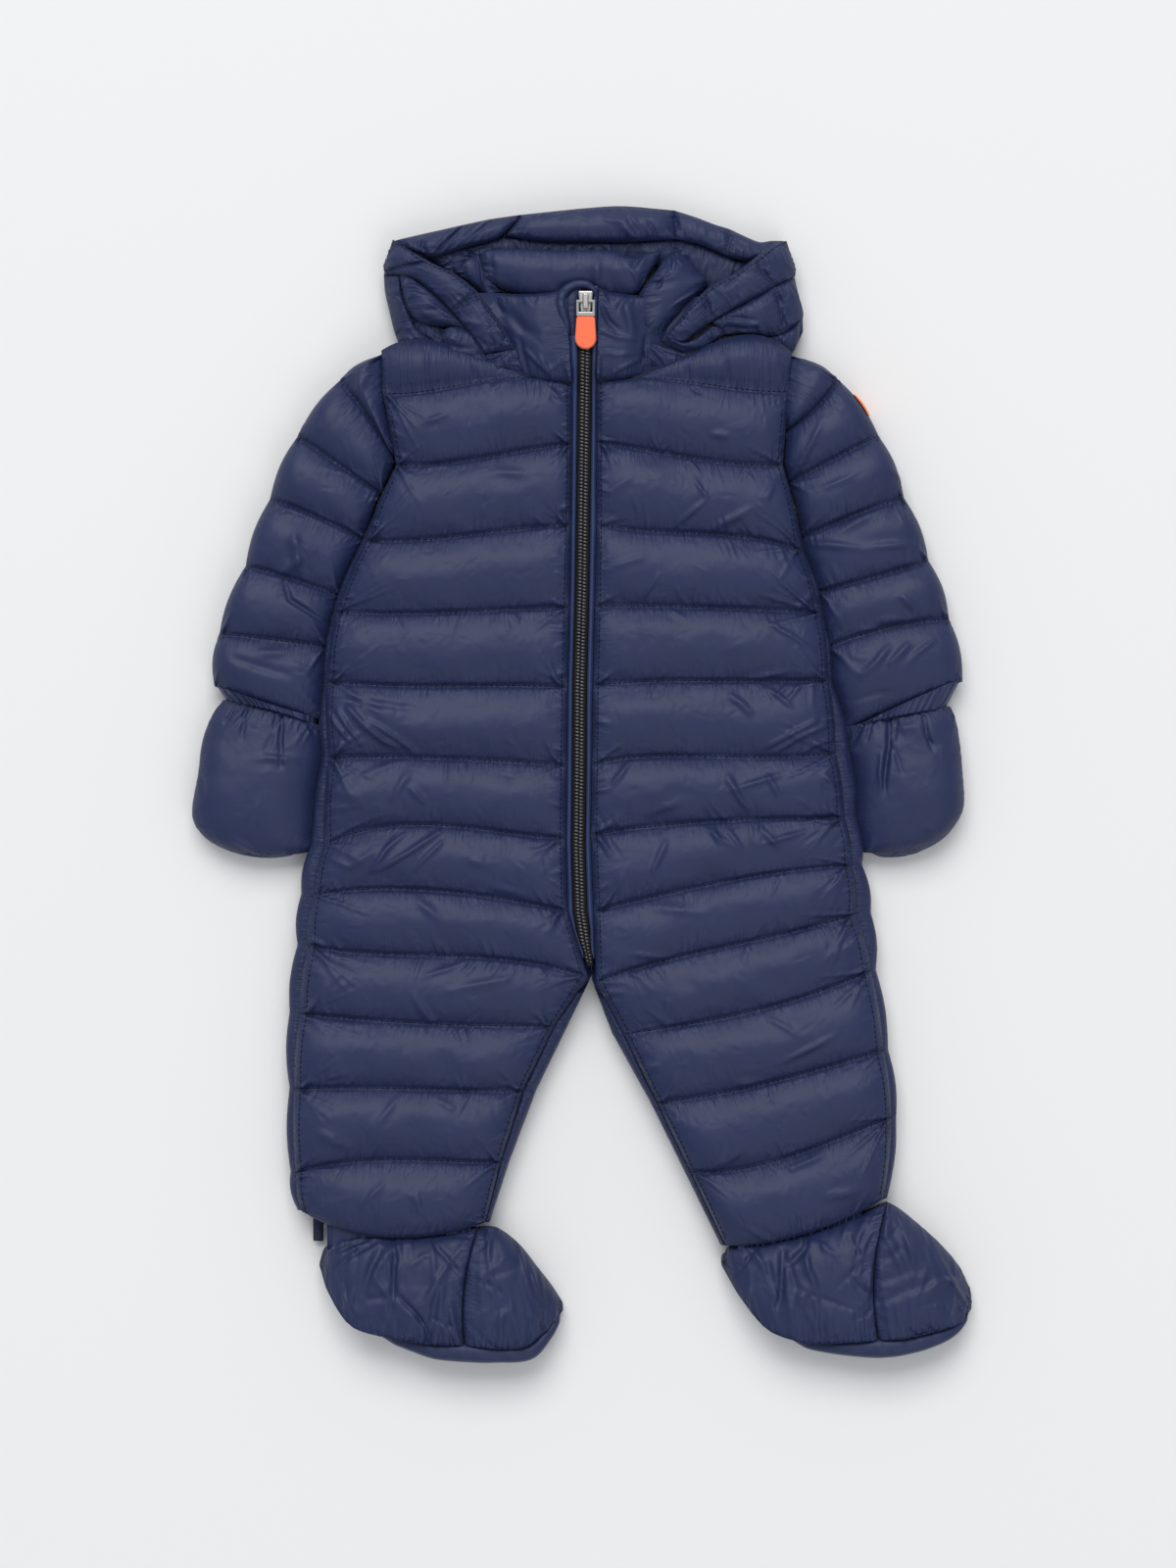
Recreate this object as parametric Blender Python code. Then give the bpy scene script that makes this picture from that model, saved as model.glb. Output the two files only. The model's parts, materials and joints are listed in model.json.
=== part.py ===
"""Baby puffer suit with hood, closed mittens and booties, lying flat on its back.

X runs across the suit with the wearer's left at +X, Y runs towards the hood, and Z is the
height above the surface that it lies on. Sizes and tables are in millimetres, and
points become metres when a mesh is made.
"""
import math
from collections import namedtuple

import bmesh
import bpy

MM = 0.001

# The tables are taken from the zip; these place the middle of the whole suit at the origin.
CENTRE_X = -0.4
CENTRE_Y = 0.0

# Gaps between pieces
SEAM_GAP = 0.4            # faces that are sewn together
LAYER_GAP = 0.3           # panels that lie on each other
SIDE_CLEARANCE = 1.0      # sleeves and mittens beside the body
NECK_GAP = 1.3            # hood's ends along the front panels' top edge

# Heights of the body's layers
BACK_TOP = 15.0           # back panel's thickness, flat under the front
SEAM_Z = 19.5             # side seam and inside leg seam
EDGE_Z = 11.0             # widest height of the rolled sides
STITCH_Z = 24.5           # front's quilting lines
ARMHOLE_Z = 21.0
PUFF = 11.5               # most that a channel rises above its stitching
PUFF_SHARE = 0.29         # rise for each millimetre between two stitch lines
EDGE_BULGE = 1.6          # sideways swell of each channel
SIDE_ROUND = 7.0          # underside's set-back at the rolled sides
LIP = 0.2                 # back panel's raised edge where it has no side seam
LIP_WIDTH = 0.35

# Layers at the neck
PLATE_TOP = 10.6          # hood's lower layer under the collar
PLATE_SIDE_TOP = 15.1     # and under the hood's folded sides
FLAP_UNDER = 15.6         # underside of the folded sides
COLLAR_BACK_UNDER = 11.0
COLLAR_BACK_TOP = 21.6
COLLAR_FRONT_UNDER = 22.0
BACK_NECK_Y = 251.0       # back panel's top edge at the centre back
HOOK_DEPTH = 12.0         # hood side's roll round the contour

# Zip
TAPE_HALF = 4.1
COIL_HALF = 2.8
COIL_RISE = 1.8
WELT_RISE = 2.6
ZIP_Z = 23.0              # tape on the body
ZIP_COLLAR_Z = 31.0       # tape on the collar
ZIP_TOP_Y = 284.0
ZIP_END_Y = -104.0
WELT_END_Y = -99.0
GARAGE_Y = 256.0          # lower end of the chin fold
ZIP_STEPS = 26            # sections along the zip below the chin fold
GARAGE_ROWS = (           # height up the body, and rise
    (ZIP_TOP_Y, 1.6), (279.0, 3.4), (270.0, 3.8), (261.0, 3.2), (GARAGE_Y, 1.8),
)

# Slider and pull
PIVOT = (2.0, 274.6, 37.9)
SLIDER_LENGTH = 12.2
SLIDER_WIDTH = 8.6
SLIDER_BASE_Z = 33.1
SLIDER_TOP_Z = 36.1
BAIL_WIDTH = 3.2
BAIL_LENGTH = 8.4
BAIL_TOP_Z = 40.6
TUNNEL_LENGTH = 4.4
TUNNEL_TOP_Z = 39.2
PULL_WIDTH = 10.6
PULL_BAR = 1.3
FRAME_REACH = 8.4         # from the pivot to the frame's far end
TAB_LENGTH = 18.4
TAB_END_WIDTH = 12.0
TAB_THICK = 2.8
PULL_TILT = math.radians(4.0)

# Sleeves, bands, mittens and booties
SLEEVE_EDGE_Z = 10.0
BOOTIE_EDGE_Z = 14.0
TUBE_WALL = 8.0           # from a tube's edge to its flat hollow
BAND_WALL = 6.0
BAND_EDGE_Z = 8.5
WRISTBAND_Z = 16.0
ANKLEBAND_Z = 17.0
BAND_GATHER = 0.8         # half the depth of a gather
ANKLE_SPAN = (0.08, 0.86) # of the hem's width, as shares from the inside leg
ANKLE_COLUMNS = 28

# Where mesh rows and columns fall, as shares
CHANNEL_SHARES = (0.0, 0.15, 0.5, 0.85)
FRONT_SHARES = (0.0, 0.05, 0.18, 0.39, 0.61, 0.83, 0.95, 1.0)
TUBE_TOP_SHARES = (0.0, 0.035, 0.13, 0.31, 0.5, 0.69, 0.87, 0.965, 1.0)
TUBE_UNDER_SHARES = (0.97, 0.9, 0.1, 0.03)
GATHER_SHARES = tuple(i / 20 for i in range(21))
WRISTBAND_SHARES = (0.12, 0.5, 0.86)
MITTEN_GATHERS = (0.9, 0.7, 0.35)         # half depths, fading from the wrist
FLAP_SHARES = (0.0, 0.06, 0.2, 0.34, 0.4, 0.46, 0.59, 0.72, 0.78, 0.83, 0.89, 0.95, 1.0)
FLAP_PLACES = (0.0, 0.5, 1.0, 2.0, 3.0, 4.0, 5.0, 5.6, 6.0)
COLLAR_PLACES = (0.0, 0.2, 0.7, 1.4, 2.2, 2.8, 3.0)

FORK_ROW = 9              # stitch line that reaches the crotch
ARMPIT_ROW = 2            # stitch line that reaches the armpit

# A stitch line across a front panel, from the zip or the inside leg to the side seam:
# heights up the body at the ends and thirds, the rolled outline beyond the side seam, and
# the back panel's inner edge.
Stitch = namedtuple("Stitch", "x_in y_in y_third y_far x_out y_out x_edge x_back")

FRONT_ROWS = {
    "right": (
        Stitch(-6.2, 229.9, 236.6, 248.4, -114.8, 247.2, -114.8, 0.0),
        Stitch(-6.2, 227.2, 232.2, 226.5, -114.2, 223.7, -114.2, 0.6),
        Stitch(-6.2, 194.6, 189.6, 184.0, -106.4, 182.8, -108.1, 1.2),
        Stitch(-6.7, 147.6, 144.8, 140.3, -123.8, 139.7, -126.6, 1.9),
        Stitch(-7.3, 101.4, 99.4, 97.7, -141.1, 98.8, -143.4, 2.5),
        Stitch(-8.4, 55.7, 56.3, 56.3, -146.2, 59.1, -149.0, 3.1),
        Stitch(-9.0, 10.9, 13.7, 15.4, -145.0, 15.4, -149.5, 3.7),
        Stitch(-9.5, -31.1, -25.8, -23.2, -147.8, -34.4, -155.7, 4.4),
        Stitch(-8.4, -72.5, -63.6, -59.6, -154.0, -63.0, -161.3, 5.0),
        Stitch(3.4, -110.0, -99.4, -97.2, -157.4, -92.1, -163.5, 5.6),
        Stitch(-15.7, -138.0, -137.5, -135.2, -161.8, -130.8, -168.0, -7.8),
        Stitch(-33.6, -175.0, -174.4, -173.3, -164.6, -173.9, -168.0, -25.8),
        Stitch(-46.5, -215.9, -214.8, -214.8, -163.8, -222.0, -167.4, -41.4),
        Stitch(-55.4, -250.6, -258.4, -257.3, -160.6, -243.9, -163.5, -52.6),
    ),
    "left": (
        Stitch(8.2, 231.6, 236.6, 251.2, 119.8, 246.7, 119.8, 0.0),
        Stitch(8.4, 228.2, 231.7, 227.1, 118.2, 224.8, 118.2, 0.6),
        Stitch(8.4, 195.7, 189.6, 184.0, 114.8, 182.8, 115.9, 1.2),
        Stitch(8.4, 148.7, 144.2, 142.0, 125.4, 133.6, 127.6, 1.9),
        Stitch(7.3, 102.2, 101.6, 100.2, 136.6, 98.3, 138.9, 2.5),
        Stitch(6.2, 56.8, 59.1, 59.1, 141.1, 59.6, 143.6, 3.1),
        Stitch(5.6, 12.0, 16.2, 15.4, 145.0, 18.2, 154.0, 3.7),
        Stitch(5.0, -28.8, -22.7, -19.9, 150.1, -18.8, 157.9, 4.4),
        Stitch(6.7, -72.0, -60.8, -51.2, 154.6, -46.2, 160.7, 5.0),
        Stitch(7.8, -112.8, -98.0, -87.1, 156.8, -73.6, 165.8, 5.6),
        Stitch(23.5, -142.5, -135.2, -124.0, 165.2, -106.1, 168.6, 16.8),
        Stitch(42.6, -181.7, -175.0, -164.4, 172.4, -152.0, 175.6, 38.6),
        Stitch(61.9, -221.5, -217.6, -205.2, 177.0, -190.1, 180.3, 58.2),
        Stitch(82.0, -263.8, -260.7, -251.7, 172.2, -237.2, 175.0, 79.0),
    ),
}

# A section across a flattened tube, from its inner edge to its outer edge, with the bow
# of the line to its left, and its height.
Section = namedtuple("Section", "x_in y_in x_out y_out bow height")

SLEEVE_ROWS = {
    "right": (
        Section(-108.2, 189.6, -116.0, 247.2, 5.0, 21.0),
        Section(-108.6, 185.6, -139.4, 231.6, -2.0, 20.5),
        Section(-113.1, 164.9, -163.5, 199.6, 0.0, 20.5),
        Section(-126.6, 140.8, -179.2, 163.8, -1.0, 20.5),
        Section(-141.7, 108.4, -193.2, 125.2, -1.0, 20.5),
        Section(-146.2, 79.2, -208.3, 86.5, 0.0, 20.5),
        Section(-150.1, 37.2, -211.1, 56.3, 0.5, 20.5),
    ),
    "left": (
        Section(117.2, 209.7, 120.8, 246.7, -1.0, 21.0),
        Section(117.2, 202.0, 146.7, 232.7, -3.0, 20.5),
        Section(118.4, 172.8, 170.2, 200.2, 0.0, 20.5),
        Section(126.6, 141.4, 184.8, 164.4, 1.0, 20.5),
        Section(135.0, 110.6, 198.8, 128.5, -1.0, 20.5),
        Section(140.6, 78.7, 210.6, 94.9, 3.0, 20.5),
        Section(153.4, 32.2, 218.4, 59.1, 0.5, 20.5),
    ),
}

MITTEN_ROWS = {
    "right": (
        Section(-151.0, 33.0, -205.0, 47.9, -1.5, 17.0),
        Section(-151.5, 24.0, -212.5, 38.5, -1.0, 22.5),
        Section(-152.0, 14.0, -218.0, 25.0, -1.0, 28.0),
        Section(-152.5, 0.0, -220.5, 6.0, -1.0, 31.0),
        Section(-153.5, -20.5, -224.0, -16.5, 1.0, 30.0),
        Section(-156.0, -32.5, -218.5, -28.5, 2.5, 25.0),
        Section(-160.0, -38.0, -208.0, -36.0, 3.0, 18.0),
        Section(-167.0, -40.6, -197.0, -40.0, 1.5, 10.0),
    ),
    "left": (
        Section(154.5, 32.0, 210.0, 44.0, 1.0, 17.0),
        Section(155.5, 23.5, 214.5, 36.0, 1.0, 22.5),
        Section(157.0, 14.0, 217.0, 22.5, 1.0, 28.0),
        Section(158.5, 1.0, 218.6, 4.5, 0.5, 31.0),
        Section(160.0, -18.0, 219.0, -13.0, -1.0, 30.0),
        Section(161.0, -31.5, 212.5, -25.5, -2.5, 25.0),
        Section(164.0, -38.0, 204.0, -33.5, -2.0, 18.0),
        Section(170.0, -41.0, 193.0, -39.0, -1.0, 10.0),
    ),
}

# Booties lie on their sides: each section runs from the sole edge to the ankle edge.
QUARTER_ROWS = {
    "right": (
        Section(-67.2, -319.4, -65.5, -258.8, 0.0, 35.0),
        Section(-86.2, -319.0, -86.2, -262.4, 0.0, 36.0),
        Section(-105.8, -316.2, -108.6, -263.0, 0.0, 35.0),
        Section(-131.0, -309.5, -129.9, -262.8, 0.0, 31.0),
        Section(-144.5, -292.0, -142.2, -263.5, 0.0, 24.0),
        Section(-150.6, -277.0, -147.5, -266.0, 0.0, 13.0),
    ),
    "left": (
        Section(169.1, -316.8, 170.2, -244.6, 0.0, 35.0),
        Section(150.1, -318.0, 146.2, -256.0, 0.0, 36.0),
        Section(129.4, -318.4, 123.8, -262.6, 0.0, 35.0),
        Section(107.0, -311.8, 101.4, -267.2, 0.0, 31.0),
        Section(91.3, -294.5, 86.2, -268.8, 0.0, 24.0),
        Section(80.6, -277.0, 81.4, -270.0, 0.0, 13.0),
    ),
}

TOE_ROWS = {
    "right": (
        Section(-67.2, -319.4, -65.5, -258.8, 0.0, 35.0),
        Section(-49.8, -321.3, -49.8, -253.0, 0.0, 36.0),
        Section(-33.0, -320.8, -35.8, -261.0, 0.0, 34.0),
        Section(-23.0, -314.6, -24.6, -273.0, 0.0, 28.0),
        Section(-15.7, -307.8, -15.7, -286.0, 0.0, 20.0),
        Section(-11.6, -302.8, -11.6, -296.0, 0.0, 10.0),
    ),
    "left": (
        Section(169.1, -316.8, 170.2, -244.6, 0.0, 35.0),
        Section(185.4, -315.4, 179.8, -241.0, 0.0, 36.0),
        Section(199.4, -312.5, 194.3, -247.4, 0.0, 34.0),
        Section(210.0, -310.2, 206.6, -257.0, 0.0, 29.0),
        Section(218.2, -307.4, 217.6, -272.0, 0.0, 21.0),
        Section(223.2, -301.5, 223.2, -287.0, 0.0, 11.0),
    ),
}

# The sole's strip between the upper's lower edge and the outline.
Strip = namedtuple("Strip", "x_upper y_upper x_edge y_edge height")

SOLE_ROWS = {
    "right": (
        Strip(-124.3, -312.6, -123.2, -315.6, 14.0),
        Strip(-103.0, -317.0, -103.0, -322.8, 22.0),
        Strip(-86.2, -319.6, -85.1, -328.8, 26.0),
        Strip(-67.2, -320.0, -67.2, -330.6, 27.0),
        Strip(-48.2, -321.9, -48.2, -331.4, 27.0),
        Strip(-31.4, -320.9, -28.6, -329.6, 25.0),
        Strip(-21.4, -313.9, -17.2, -317.2, 20.0),
        Strip(-14.2, -307.0, -11.4, -308.3, 13.0),
    ),
    "left": (
        Strip(112.6, -314.6, 113.7, -317.8, 14.0),
        Strip(131.6, -319.2, 131.6, -324.0, 22.0),
        Strip(154.0, -318.6, 154.0, -327.3, 26.0),
        Strip(169.1, -317.4, 171.4, -328.2, 27.0),
        Strip(185.6, -316.2, 188.2, -325.9, 27.0),
        Strip(200.4, -313.2, 205.0, -320.6, 25.0),
        Strip(211.4, -310.8, 216.2, -313.9, 20.0),
        Strip(219.4, -307.6, 222.4, -307.6, 13.0),
    ),
}

# The hood's folded sides, from the front edge of the hood to the outer contour.
FLAP_ROWS = {
    "right": (
        Section(-105.0, 310.4, -110.4, 309.4, 0.0, 0.0),
        Section(-86.0, 299.3, -114.0, 299.0, 0.0, 0.0),
        Section(-67.0, 287.8, -114.4, 287.5, 0.0, 0.0),
        Section(-55.6, 275.5, -112.4, 275.5, 0.0, 0.0),
        Section(-49.6, 263.5, -108.8, 263.0, 0.0, 0.0),
        Section(-44.2, 251.5, -105.0, 254.0, 0.0, 0.0),
        Section(-38.6, 237.0, -102.5, 250.7, 0.0, 0.0),
    ),
    "left": (
        Section(104.0, 310.2, 116.4, 311.0, 0.0, 0.0),
        Section(98.0, 300.0, 120.6, 301.5, 0.0, 0.0),
        Section(80.0, 289.0, 123.0, 289.5, 0.0, 0.0),
        Section(64.0, 276.5, 125.4, 277.5, 0.0, 0.0),
        Section(53.6, 264.5, 126.6, 265.0, 0.0, 0.0),
        Section(45.6, 253.5, 126.0, 257.0, 0.0, 0.0),
        Section(36.2, 237.0, 118.5, 250.0, 0.0, 0.0),
    ),
}
FLAP_CHANNELS = (0.0, 0.4, 0.78, 1.0)     # quilting lines, as shares from the front edge
FLAP_EDGE_Z = 24.0
FLAP_STITCH_Z = 27.0
FLAP_PUFF = 10.0

# The front collar, from the zip to its side: base to top edge.
COLLAR_ROWS = {
    "right": (
        Section(-6.0, 231.0, -9.0, 284.2, 0.0, 0.0),
        Section(-16.2, 232.4, -19.0, 281.4, 0.0, 0.0),
        Section(-26.3, 234.6, -33.0, 280.3, 0.0, 0.0),
        Section(-37.4, 237.0, -53.6, 282.0, 0.0, 0.0),
    ),
    "left": (
        Section(8.2, 232.6, 9.4, 283.1, 0.0, 0.0),
        Section(17.4, 233.4, 20.2, 280.8, 0.0, 0.0),
        Section(26.3, 234.6, 34.5, 279.2, 0.0, 0.0),
        Section(35.0, 236.0, 55.5, 278.5, 0.0, 0.0),
    ),
}
COLLAR_ZIP_Z = 33.0
COLLAR_SEAM_Z = 27.0
COLLAR_PUFF = 9.0
COLLAR_SHARES = (0.0, 0.04, 0.15, 0.35, 0.6, 0.84, 0.95, 1.0)

# Lines up the back collar: hidden base, top edge, and the extra height of its rolled ends.
Upright = namedtuple("Upright", "x y_low y_top roll")

COLLAR_BACK_ROWS = (
    Upright(-59.5, 283.4, 300.5, 8.0),
    Upright(-56.0, 279.0, 304.0, 10.0),
    Upright(-50.0, 268.5, 305.2, 6.5),
    Upright(-42.0, 253.0, 305.7, 2.0),
    Upright(-20.0, 252.4, 305.3, 0.0),
    Upright(0.0, 252.4, 304.6, 0.0),
    Upright(24.0, 252.4, 303.8, 0.5),
    Upright(42.0, 253.0, 305.6, 3.0),
    Upright(52.0, 267.0, 306.2, 7.0),
    Upright(61.0, 278.5, 303.0, 11.0),
    Upright(67.0, 283.8, 297.0, 9.0),
)
COLLAR_COVER_Y = 285.0    # what lies below it is under the front collar
# shares of the visible depth, heights there, and how much of the roll is added
COLLAR_BACK_PROFILE = (
    (0.0, 21.6, 0.0),
    (0.08, 21.0, 1.0),
    (0.32, 20.4, 1.0),
    (0.58, 24.0, 0.8),
    (0.8, 28.5, 0.4),
    (0.93, 26.5, 0.2),
    (1.0, 18.0, 0.0),
)

# Lines up the hood's lower layer: hidden base, the edge of what covers it, and the contour.
HoodLine = namedtuple("HoodLine", "x y_low y_cover y_top plate_z")

HOOD_LINES = (
    HoodLine(-103.6, 311.4, 311.9, 313.2, PLATE_SIDE_TOP),
    HoodLine(-98.0, 282.0, 308.0, 314.4, PLATE_SIDE_TOP),
    HoodLine(-88.0, 253.0, 301.6, 316.2, PLATE_SIDE_TOP),
    HoodLine(-74.0, 252.4, 293.4, 319.6, PLATE_SIDE_TOP),
    HoodLine(-63.5, 252.4, 289.0, 322.0, PLATE_SIDE_TOP),
    HoodLine(-60.8, 252.4, 304.2, 322.6, PLATE_TOP),
    HoodLine(-35.0, 252.4, 306.4, 326.7, PLATE_TOP),
    HoodLine(0.0, 252.4, 305.6, 330.2, PLATE_TOP),
    HoodLine(24.0, 252.4, 305.4, 331.5, PLATE_TOP),
    HoodLine(55.0, 252.4, 307.0, 328.7, PLATE_TOP),
    HoodLine(68.4, 252.4, 300.0, 324.2, PLATE_TOP),
    HoodLine(71.4, 252.4, 285.2, 323.0, PLATE_SIDE_TOP),
    HoodLine(83.0, 252.4, 293.0, 318.6, PLATE_SIDE_TOP),
    HoodLine(97.0, 252.4, 301.8, 313.4, PLATE_SIDE_TOP),
    HoodLine(102.0, 252.4, 309.2, 311.8, PLATE_SIDE_TOP),
)
# shares from the cover to the contour, and the rise there as a share of the rim's
HOOD_RIM_PROFILE = ((0.0, 0.0), (0.26, 0.05), (0.45, 0.55), (0.65, 1.0), (0.85, 0.8), (1.0, -0.25))
HOOD_RIM_Z = 26.0

# The zip's line: height up the body and place across it.
ZIP_LINE = (
    (284.0, 2.2), (252.3, 1.7), (196.3, 1.1), (112.3, 0.0), (56.3, -1.4), (0.3, -1.7),
    (-35.0, -2.2), (-72.5, -1.1), (-89.9, 1.6), (-99.4, 3.7), (-106.1, 4.9),
)

BADGE_ROWS = (1.2, 1.5, 1.8)        # along the sleeve, in stitch lines
BADGE_SHARES = (0.9, 0.965, 1.0)    # round its outer edge, on top
BADGE_TILTS = (0.75, 0.45, 0.0, -0.3)    # upward share of the way out of the cloth
BADGE_THICK = 1.0

TAB_PLACE = (-151.8, -254.0, 4.0)
TAB_SIZE = (6.0, 17.4, 1.6)         # across the leg, along it, and thick

NAVY = (58, 66, 98)
NAVY_DEEP = (48, 57, 90)
WELT_BLUE = (58, 79, 125)
TAPE_BLACK = (24, 27, 36)
STEEL = (196, 198, 202)
CORAL = (255, 130, 92)
ORANGE = (255, 138, 32)

CLOTH_ROUGHNESS = 0.5

SIGN = {"right": -1, "left": 1}


# ------------------------------------------------------------------ curves and shares

def lerp(a, b, share):
    return a + (b - a) * share


def clamp(value):
    return max(0.0, min(1.0, value))


def through_four(y0, y1, y2, y3, share):
    """Cubic through four evenly spaced values."""
    a = 3 * share
    return (
        -y0 * (a - 1) * (a - 2) * (a - 3) / 6
        + y1 * a * (a - 2) * (a - 3) / 2
        - y2 * a * (a - 1) * (a - 3) / 2
        + y3 * a * (a - 1) * (a - 2) / 6
    )


def through_table(pairs, key):
    """Value at key, on straight steps through (key, value) pairs with falling keys."""
    for (k0, v0), (k1, v1) in zip(pairs, pairs[1:]):
        if key >= k1:
            return lerp(v0, v1, (key - k0) / (k1 - k0))
    return pairs[-1][1]


def arch(share):
    """Cross-section of a filled channel between two stitch lines."""
    return math.sin(math.pi * clamp(share)) ** 0.7


def closing(share):
    """Falls to nothing where a channel ends at a seam."""
    return math.sqrt(max(0.0, 1 - abs(2 * share - 1) ** 8))


def around(rows, v):
    """The two rows about v, and the share of the way between them."""
    k = min(int(v), len(rows) - 2)
    return rows[k], rows[k + 1], v - k


def channel_rows(rows):
    """Places of the mesh's rows, four to a channel."""
    places = [k + s for k in range(len(rows) - 1) for s in CHANNEL_SHARES]
    return places + [float(len(rows) - 1)]


def swell(v):
    """Sideways swell of a channel's end, from 0 at its stitch lines to 1."""
    return math.sin(math.pi * (v - int(v)))


# ------------------------------------------------------------------ meshes and materials

def srgb(colour):
    channels = []
    for value in colour:
        c = value / 255
        channels.append(c / 12.92 if c < 0.04045 else ((c + 0.055) / 1.055) ** 2.4)
    return (*channels, 1.0)


def give_material(obj, colour, roughness, metallic=0.0):
    material = bpy.data.materials.new(obj.name)
    material.use_nodes = True
    shader = material.node_tree.nodes["Principled BSDF"]
    shader.inputs["Base Color"].default_value = srgb(colour)
    shader.inputs["Roughness"].default_value = roughness
    shader.inputs["Metallic"].default_value = metallic
    material.diffuse_color = srgb(colour)
    obj.data.materials.append(material)


def place(point):
    """Millimetres on the suit to metres about the origin."""
    x, y, z = point
    return ((x - CENTRE_X) * MM, (y - CENTRE_Y) * MM, z * MM)


def merge_level_faces(mesh):
    """Joins faces that lie level at one height, such as a flat underside."""
    level = [
        f for f in mesh.faces
        if max(v.co.z for v in f.verts) - min(v.co.z for v in f.verts) < 1e-7
    ]
    if level:
        bmesh.ops.dissolve_faces(mesh, faces=level, use_verts=False)


def make_object(name, points, faces, colour, roughness, metallic=0.0, parent=None):
    mesh = bmesh.new()
    verts = [mesh.verts.new(place(p)) for p in points]
    for face in faces:
        mesh.faces.new([verts[i] for i in face])
    bmesh.ops.recalc_face_normals(mesh, faces=mesh.faces)
    merge_level_faces(mesh)
    data = bpy.data.meshes.new(name)
    mesh.to_mesh(data)
    mesh.free()
    data.shade_smooth()
    data.set_sharp_from_angle(angle=math.radians(50))
    obj = bpy.data.objects.new(name, data)
    obj.parent = parent
    bpy.context.scene.collection.objects.link(obj)
    give_material(obj, colour, roughness, metallic)
    return obj


def slab(name, outer, inner, colour):
    """A closed wall between two grids of points with the same number of rows.

    The inner grid has the outer one's columns too, or only its two edges.
    """
    rows, columns, inner_columns = len(outer), len(outer[0]), len(inner[0])
    points = [p for row in outer for p in row] + [p for row in inner for p in row]
    base = rows * columns
    faces = []
    for start, count in ((0, columns), (base, inner_columns)):
        for j in range(rows - 1):
            for i in range(count - 1):
                a = start + j * count + i
                faces.append((a, a + 1, a + count + 1, a + count))
    for j in range(rows - 1):
        for a, b in (
            (j * columns, base + j * inner_columns),
            ((j + 1) * columns - 1, base + (j + 1) * inner_columns - 1),
        ):
            faces.append((a, a + columns, b + inner_columns, b))
    for j in (0, rows - 1):
        a, b = j * columns, base + j * inner_columns
        if inner_columns == columns:
            for i in range(columns - 1):
                faces.append((a + i, a + i + 1, b + i + 1, b + i))
        else:
            faces.append((*range(a, a + columns), b + 1, b))
    return make_object(name, points, faces, colour, CLOTH_ROUGHNESS)


def tube(name, outer, inner, colour, closed=False):
    """A flattened tube's wall from rings of points; a closed one ends in a filled tip."""
    count = len(outer[0])
    points = [p for ring in outer for p in ring] + [p for ring in inner for p in ring]
    base = len(outer) * count
    faces = []
    for start, rings in ((0, outer), (base, inner)):
        for j in range(len(rings) - 1):
            for i in range(count):
                a, b = start + j * count + i, start + j * count + (i + 1) % count
                faces.append((a, b, b + count, a + count))
    ends = [(0, base)]
    last_outer, last_inner = (len(outer) - 1) * count, base + (len(inner) - 1) * count
    if closed:
        faces.append(tuple(range(last_outer, last_outer + count)))
        faces.append(tuple(range(last_inner, last_inner + count)))
    else:
        ends.append((last_outer, last_inner))
    for a, b in ends:
        for i in range(count):
            k = (i + 1) % count
            faces.append((a + i, a + k, b + k, b + i))
    return make_object(name, points, faces, colour, CLOTH_ROUGHNESS)


def bar(name, rings, colour, roughness=0.5, metallic=0.0, parent=None):
    """A solid swept through rings of points, with both ends filled."""
    count = len(rings[0])
    points = [p for ring in rings for p in ring]
    faces = [tuple(range(count)), tuple(range(len(points) - count, len(points)))]
    for j in range(len(rings) - 1):
        for i in range(count):
            a, b = j * count + i, j * count + (i + 1) % count
            faces.append((a, b, b + count, a + count))
    return make_object(name, points, faces, colour, roughness, metallic, parent)


# ------------------------------------------------------------------ body

def stitch_y(row, share):
    return through_four(row.y_in, row.y_third, row.y_far, row.y_out, share)


def seam_x(side, v):
    """Place of the side seam."""
    a, b, f = around(FRONT_ROWS[side], v)
    full = 0.6 * EDGE_BULGE * swell(v) if v > ARMPIT_ROW else 0.0
    return lerp(a.x_out, b.x_out, f) + SIGN[side] * full


def edge_x(side, v):
    """Place of the rolled outline beyond the side seam."""
    a, b, f = around(FRONT_ROWS[side], v)
    full = EDGE_BULGE * swell(v) if v > ARMPIT_ROW else 0.0
    return lerp(a.x_edge, b.x_edge, f) + SIGN[side] * full


def side_y(side, v):
    a, b, f = around(FRONT_ROWS[side], v)
    return lerp(a.y_out, b.y_out, f)


def neck_y(side, x):
    """Front panel's top edge at x, which the collar and the hood meet."""
    top = FRONT_ROWS[side][0]
    edge = [(-t, stitch_y(top, t)) for t in FRONT_SHARES]
    return through_table(edge, -clamp((x - top.x_in) / (top.x_out - top.x_in)))


def body_outline(side):
    return [(side_y(side, v), edge_x(side, v)) for v in channel_rows(FRONT_ROWS[side])]


def front_section(side, v):
    """Outer points of a front panel across one row."""
    a, b, f = around(FRONT_ROWS[side], v)
    x_in, x_out = lerp(a.x_in, b.x_in, f), seam_x(side, v)
    leg = clamp(3 * (v - FORK_ROW))
    z_in = lerp(STITCH_Z, SEAM_Z, leg)
    z_out = lerp(ARMHOLE_Z, SEAM_Z, clamp(v - ARMPIT_ROW))
    points = []
    for t in FRONT_SHARES:
        top, low = stitch_y(a, t), stitch_y(b, t)
        z = STITCH_Z - (STITCH_Z - z_in) * (1 - t) ** 12 - (STITCH_Z - z_out) * t ** 12
        z += min(PUFF, PUFF_SHARE * (top - low)) * arch(f) * closing(t)
        points.append((lerp(x_in, x_out, t), lerp(top, low, f), z))
    return points


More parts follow.
